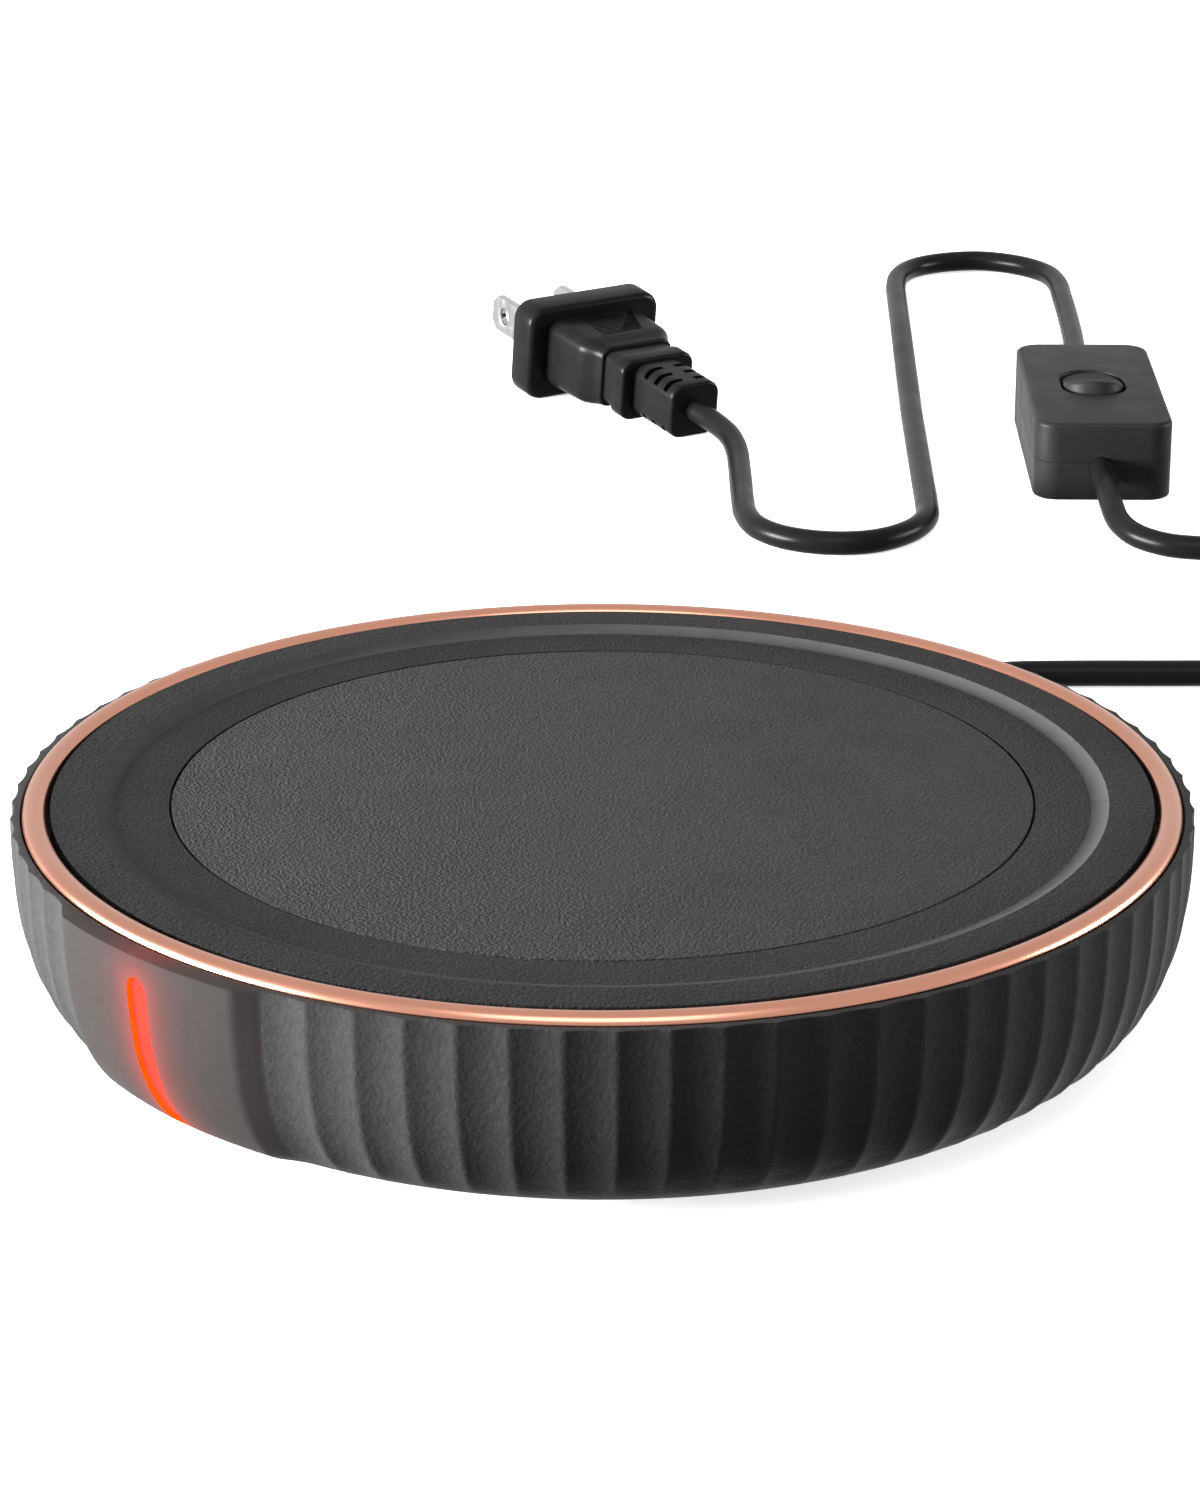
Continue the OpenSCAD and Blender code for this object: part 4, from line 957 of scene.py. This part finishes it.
# ---- plug --------------------------------------------------------------------
PLUG_AT, PLUG_TURN = (16, 240), 32
TAIL_L, COLLAR_L, GRIP_L, PLUG_T = 12, 7, 14, 6
PLUG_END = TAIL_L + COLLAR_L + GRIP_L + PLUG_T
TAIL_W, NECK_W, NECK_H, GRIP_W, GRIP_H, PLUG_W, PLUG_H = 9.6, 14.5, 11, 19, 12, 26.5, 17
BLADE_PITCH, BLADE_L, BLADE_W, BLADE_T = 12.7, 17, 6.4, 1.5
COLLAR_SHARE = 0.55
COLLAR_Z, GRIP_Z, FACE_Z = TAIL_L + COLLAR_L * COLLAR_SHARE, TAIL_L + COLLAR_L, PLUG_END - PLUG_T
TAIL_R, WAIST_R, GRIP_R, FACE_R = 2.4, 1.8, 2.0, 3.2
STEP_ROUND, GRIP_ROUND, BACK_ROUND, FACE_ROUND = 0.5, 0.4, 0.9, 0.6
WAIST_IN_W, WAIST_IN_H = 1.6, 1.2
FLARE_L, FLARE_STEPS, FLARE_ROUND = 4.4, 7, 0.4
GRIP_IN, GRIP_SLIM, GRIP_OVER = 0.2, 0.6, 0.4
SLOT_N, SLOT_FROM, SLOT_PITCH, SLOT_L = 3, 2, 3.1, 1.2
SLOT_DEEP, SLOT_OVER, SLOT_WEB = 1.6, 1.4, 1.1
GROOVE_N, GROOVE_FROM, GROOVE_PITCH, GROOVE_L, GROOVE_HALF = 9, 4.8, 0.9, 0.45, 4
GROOVE_DEEP, CUT_OVER = 0.4, 2
BLADE_NOSE, BLADE_ROOT, BLADE_HOLE_R, BLADE_HOLE_IN = 1.4, 8, 1.5, 4
PLUG_TIP = math.atan((PLUG_H - TAIL_W) / 2 / FACE_Z)
PLUG_Z = TAIL_W / 2 * math.cos(PLUG_TIP)


def at_plug(p):
    """Local +Z runs from tail to blades; the plug lies on its tail and the edge of its face."""
    c, s = math.cos(PLUG_TIP), math.sin(PLUG_TIP)
    x, y, z = turned((p[0], p[1] * s + p[2] * c, PLUG_Z - p[1] * c + p[2] * s), PLUG_TURN)
    return layout((x + PLUG_AT[0], y + PLUG_AT[1], z))


def edge_round(z, w, h, r, size, up):
    """Sections that round the edge of a step at z, growing to w by h where up is true."""
    out = []
    for q in (0, 30, 60, 90):
        rise, inset = quarter(q, size)
        out.append((z + rise if up else z - rise,
                    round_rect(w - 2 * inset, h - 2 * inset, r - inset * 0.5)))
    return out if up else out[::-1]


def plug_sections():
    """Tail, collar, waist, widening grip and face, from the lead to the blades."""
    waist = round_rect(NECK_W - WAIST_IN_W, NECK_H - WAIST_IN_H, WAIST_R)
    grip_w = NECK_W - GRIP_IN
    sections = edge_round(0, TAIL_W, TAIL_W, TAIL_R, STEP_ROUND, True)
    sections += [(TAIL_L, round_rect(TAIL_W, TAIL_W, TAIL_R))]
    sections += edge_round(TAIL_L, NECK_W, NECK_H, TAIL_R, STEP_ROUND, True)
    sections += edge_round(COLLAR_Z, NECK_W, NECK_H, TAIL_R, STEP_ROUND, False)
    sections += [(COLLAR_Z, waist), (GRIP_Z, waist)]
    sections += edge_round(GRIP_Z, grip_w, NECK_H, GRIP_R, GRIP_ROUND, True)
    for k in range(1, FLARE_STEPS + 1):
        f = ease(k / FLARE_STEPS)
        w, h = grip_w + (GRIP_W - NECK_W - GRIP_SLIM) * f, NECK_H + (GRIP_H - NECK_H) * f
        sections.append((GRIP_Z + GRIP_ROUND + FLARE_L * k / FLARE_STEPS,
                         round_rect(w, h, GRIP_R + FLARE_ROUND * f)))
    sections += [(FACE_Z, round_rect(GRIP_W, GRIP_H + GRIP_OVER, TAIL_R))]
    sections += edge_round(FACE_Z, PLUG_W, PLUG_H, FACE_R, BACK_ROUND, True)
    return sections + edge_round(PLUG_END, PLUG_W, PLUG_H, FACE_R, FACE_ROUND, False)


def make_plug():
    """Moulded body with slots in its tail and fine grooves across the top of its grip."""
    body = loft("plug_moulding", plug_sections(), MATS["pvc"], at_plug, sharp=50)
    parts = []
    for side in (1, -1):
        ys = sorted((side * (TAIL_W / 2 - SLOT_DEEP), side * (TAIL_W / 2 + SLOT_OVER)))
        for i in range(SLOT_N):
            z = SLOT_FROM + i * SLOT_PITCH
            for s in (1, -1):
                xs = sorted((s * SLOT_WEB, s * TAIL_W))
                parts.append(block((xs[0], ys[0], z), (xs[1], ys[1], z + SLOT_L), at_plug))
    top = -GRIP_H / 2
    for i in range(GROOVE_N):
        z = GRIP_Z + GROOVE_FROM + i * GROOVE_PITCH
        parts.append(block((-GROOVE_HALF, top - CUT_OVER, z),
                           (GROOVE_HALF, top + GROOVE_DEEP, z + GROOVE_L), at_plug))
    cut(body, new_object("plug_slots", *joined(parts), [MATS["pvc"]]), sharp=50)
    stand_in(body, "plug_body")
    return body


def make_blades():
    """Two flat blades with chamfered noses and a hole through each."""
    h, root, end = BLADE_W / 2, PLUG_END - BLADE_ROOT, PLUG_END + BLADE_L
    shape = [(-h, root), (h, root), (h, end - BLADE_NOSE), (h - BLADE_NOSE, end),
             (BLADE_NOSE - h, end), (-h, end - BLADE_NOSE)]
    blades = []
    for s in (-1, 1):
        middle = s * BLADE_PITCH / 2
        verts = [at_plug((x, y, z)) for x in (middle - BLADE_T / 2, middle + BLADE_T / 2)
                 for y, z in shape]
        blades.append((verts, prism_faces(len(shape))))
    obj = new_object("blade_pair", *joined(blades), [MATS["nickel"]])
    z = end - BLADE_HOLE_IN
    drill = rod((-BLADE_PITCH, 0, z), (BLADE_PITCH, 0, z), BLADE_HOLE_R, at_plug, 32)
    hole = new_object("blade_hole", *drill, [MATS["nickel"]])
    face_outwards(obj)
    cut(obj, hole)
    bevel(obj, 0.22, 3, 40)
    stand_in(obj, "plug_blades")
    return obj


def face_outwards(obj):
    """Turns all of the mesh's faces outwards."""
    mesh = bmesh.new()
    mesh.from_mesh(obj.data)
    bmesh.ops.recalc_face_normals(mesh, faces=mesh.faces)
    mesh.to_mesh(obj.data)
    mesh.free()


# ---- the lead ----------------------------------------------------------------
# Routes in the lead's own layout, in millimetres, as in the part
WARMER_ROUTE = [
    (37, 91.2, 9.1), (39.5, 96.8, 7.6), (42.8, 102.2, 5.4), (47.4, 106.9, 3), (53.5, 110.3, 2.2),
    (60.5, 112, 2), (70, 112.3, 2), (80, 112.3, 2), (90, 112.4, 2), (100, 112.6, 2),
    (109, 113.1, 2), (118, 113.6, 2), (125, 113.8, 2),
]
SWITCH_ROUTE = [
    (121, 169.4, 6.1), (112, 169.9, 4.2), (105, 170.6, 2.3), (98, 171.2, 2), (93, 171.6, 2),
    (88.6, 173, 2.1), (84.6, 176.6, 2.4), (82.4, 181.6, 3), (81.7, 187, 4), (81.6, 193, 5),
    (81.6, 198, 5.4), (81.6, 204.6, 5.5),
]
PLUG_ROUTE = [
    (83.4, 251.4, 5.5), (83.8, 260, 5.1), (84.4, 268, 3.6), (85.1, 277, 2.3), (85.9, 287, 2),
    (86.5, 297, 2), (86.9, 307, 2), (87.2, 317, 2), (87.4, 327, 2), (87.5, 337, 2), (86, 345, 2),
    (81.4, 351.4, 2), (74.4, 355, 2), (67, 353.8, 2), (61, 349.6, 2), (57.6, 343, 2),
    (56.4, 335, 2), (56, 325, 2), (55.7, 315, 2), (55.4, 305, 2), (55.1, 295, 2), (54.8, 285, 2),
    (54.5, 275, 2), (54.2, 265, 2), (53.9, 255, 2), (53.6, 245, 2), (53.4, 235, 2),
    (53.2, 225, 2), (53, 215, 2), (52.8, 205, 2), (52.6, 195, 2), (52, 187, 2), (48.8, 180, 2),
    (43, 175, 2), (36, 174, 2), (29.4, 176.6, 2), (25, 182, 2), (23.2, 189, 2), (22.9, 197, 2),
    (22.9, 206, 2), (22.9, 215, 2.2), (22.7, 223, 2.7), (21.6, 229.4, 3.4), (19.2, 234.9, 4.1),
    (*PLUG_AT, PLUG_Z),
]
COIL_AT = (131, 141.5)
COIL_OUTER, COIL_STEP, COIL_LAYER = 27.6, 4.1, 4.1
COIL_TURNS = 5.5
COIL_POINTS, COIL_LIFT = 120, 0.1
COIL_IN, COIL_OUT, COIL_RISE = (5 / 6, 11 / 6), (3.5, 4.5), (16 / 6,)
STEP_RATE = 6
SPLINE_STEPS = 10


def stepped(t, starts):
    """How many of the coil's steps are done after t turns; each takes a sixth of a turn."""
    return sum(ease((t - start) * STEP_RATE) for start in starts)


def coil_points():
    """Three turns wound inwards on the table, then two and a half wound outwards on top of them."""
    pts = []
    count = int(COIL_TURNS * COIL_POINTS)
    for i in range(count + 1):
        t = COIL_TURNS * i / count
        r = COIL_OUTER - COIL_STEP * (stepped(t, COIL_IN) - stepped(t, COIL_OUT))
        z = CORD_D / 2 + COIL_LIFT + COIL_LAYER * stepped(t, COIL_RISE)
        a = 2 * math.pi * t - math.pi / 2
        pts.append((COIL_AT[0] + r * math.cos(a), COIL_AT[1] + r * math.sin(a), z))
    return pts


def spline(points):
    """Points of a smooth curve through the given ones."""
    p = [Vector(q) for q in points]
    p = [p[0] * 2 - p[1]] + p + [p[-1] * 2 - p[-2]]
    out = []
    for i in range(1, len(p) - 2):
        a, b, c, d = p[i - 1:i + 3]
        for k in range(SPLINE_STEPS):
            t = k / SPLINE_STEPS
            out.append(0.5 * ((2 * b) + (c - a) * t + (2 * a - 5 * b + 4 * c - d) * t * t
                              + (3 * b - a - 3 * c + d) * t ** 3))
    out.append(p[-2])
    return [tuple(v) for v in out]


def cord_curve(name, points, mat):
    """Round cord along the points of the lead's layout."""
    data = bpy.data.curves.new(name, "CURVE")
    data.dimensions = "3D"
    line = data.splines.new("POLY")
    line.points.add(len(points) - 1)
    for point, q in zip(line.points, points):
        x, y, z = layout(q)
        point.co = (x * MM, y * MM, z * MM, 1)
    data.bevel_depth = CORD_D / 2 * MM
    data.bevel_resolution = 8
    data.use_fill_caps = True
    line.use_smooth = True
    data.materials.append(mat)
    obj = bpy.data.objects.new(name, data)
    bpy.context.scene.collection.objects.link(obj)
    return obj


def make_leads():
    """The lead from the warmer through its coil to the switch, and the one to the plug."""
    turn = math.radians(EXIT_TURN - LAY_TURN)
    start = (RELIEF_TIP * math.sin(turn), -RELIEF_TIP * math.cos(turn), EXIT_Z)
    coil = coil_points()
    first = spline([start] + WARMER_ROUTE + coil[:1])[:-1] + coil
    first += spline([coil[-1]] + SWITCH_ROUTE)[1:]
    second = spline(PLUG_ROUTE)
    lead_1 = cord_curve("lead_to_switch", first, MATS["cable"])
    lead_2 = cord_curve("lead_to_plug", second, MATS["cable"])
    stand_in(lead_1, "warmer_lead", "lead_coil", "switch_lead")
    stand_in(lead_2, "plug_lead")
    return (lead_1, first), (lead_2, second)


# ---- floor, backdrop and lights ----------------------------------------------
FLOOR_HALF, FLOOR_ROUGH = 6, 0.9
FLOOR_GLOW, FLOOR_SHOWN = 0.66, 0.95
FLOOR_BOUNCE = (0.03, 0.03, 0.03)
FLOOR_DIM, FLOOR_BRIGHT = (0.855, 0.855, 0.855), (0.865, 0.865, 0.865)
DARK_SIDE, SKY_LIGHT = 0.02, 1.1
SKY_AXIS, SKY_FROM, SKY_TO = (0.0, 0.0, 1.0), 0.3, 0.97
# Name, place and aim in metres, width, height, watts
LIGHTS = (
    ("left", (-0.57, -0.73, 0.15), (0, 0, 0.02), 0.6, 0.3, 80),
    ("front", (0.40, -0.41, 0.82), (0, 0, 0.02), 0.6, 0.6, 4),
    ("right", (0.55, 0.9, 0.16), (0, 0, 0.01), 0.5, 0.3, 11),
)


def make_floor():
    """White sheet under the part; its glow is seen, but it gives the part little light."""
    mesh = bpy.data.meshes.new("floor")
    corners = [(x * FLOOR_HALF, y * FLOOR_HALF, 0) for x, y in ((-1, -1), (1, -1), (1, 1), (-1, 1))]
    mesh.from_pydata(corners, [], [(0, 1, 2, 3)])
    m = Mat("floor_white", FLOOR_ROUGH, Specular_IOR_Level=0.0)
    camera, shown = m.rays()
    white = m.mix(m.mottle(3), FLOOR_DIM, FLOOR_BRIGHT)
    m.color(m.mix(camera, FLOOR_BOUNCE, white))
    glow = m.math("SUBTRACT", m.math("MULTIPLY", shown, FLOOR_SHOWN),
                  m.math("MULTIPLY", camera, FLOOR_SHOWN - FLOOR_GLOW))
    m.p.inputs["Emission Color"].default_value = (1, 1, 1, 1)
    m.link(glow, m.p.inputs["Emission Strength"])
    mesh.materials.append(m.m)
    floor = bpy.data.objects.new("floor", mesh)
    bpy.context.scene.collection.objects.link(floor)


def make_world():
    """White to every ray that shows it, and a soft light from above to the rest."""
    world = bpy.data.worlds.new("studio")
    bpy.context.scene.world = world
    world.use_nodes = True
    w = Nodes(world.node_tree)
    background = w.t.nodes["Background"]
    towards = w.t.nodes.new("ShaderNodeVectorMath")
    towards.operation = "DOT_PRODUCT"
    w.link(w.t.nodes.new("ShaderNodeTexCoord").outputs["Generated"], towards.inputs[0])
    towards.inputs[1].default_value = SKY_AXIS
    dome = w.remap(towards.outputs["Value"], SKY_FROM, SKY_TO, DARK_SIDE, SKY_LIGHT, "SMOOTHSTEP")
    _, shown = w.rays()
    mix = w.t.nodes.new("ShaderNodeMix")
    w.link(shown, mix.inputs["Factor"])
    w.link(dome, mix.inputs["A"])
    mix.inputs["B"].default_value = 1.0
    w.link(mix.outputs["Result"], background.inputs["Strength"])
    background.inputs["Color"].default_value = (1, 1, 1, 1)


def make_lights():
    for name, at, aim, width, height, watts in LIGHTS:
        data = bpy.data.lights.new(name, "AREA")
        data.energy = watts
        data.shape = "RECTANGLE"
        data.size = width
        data.size_y = height
        obj = bpy.data.objects.new(name, data)
        obj.location = at
        obj.rotation_euler = (Vector(aim) - Vector(at)).to_track_quat("-Z", "Y").to_euler()
        bpy.context.scene.collection.objects.link(obj)


make_housing()
make_lens()
make_cover()
make_ring()
make_plate()
make_relief()
COVER, BOTTOM = make_switch()
ROCKER = make_rocker()
PLUG = make_plug()
BLADES = make_blades()
LEAD_1, LEAD_2 = make_leads()
dress_nodes()
make_floor()
make_world()
make_lights()
bpy.context.scene.view_settings.view_transform = "Standard"
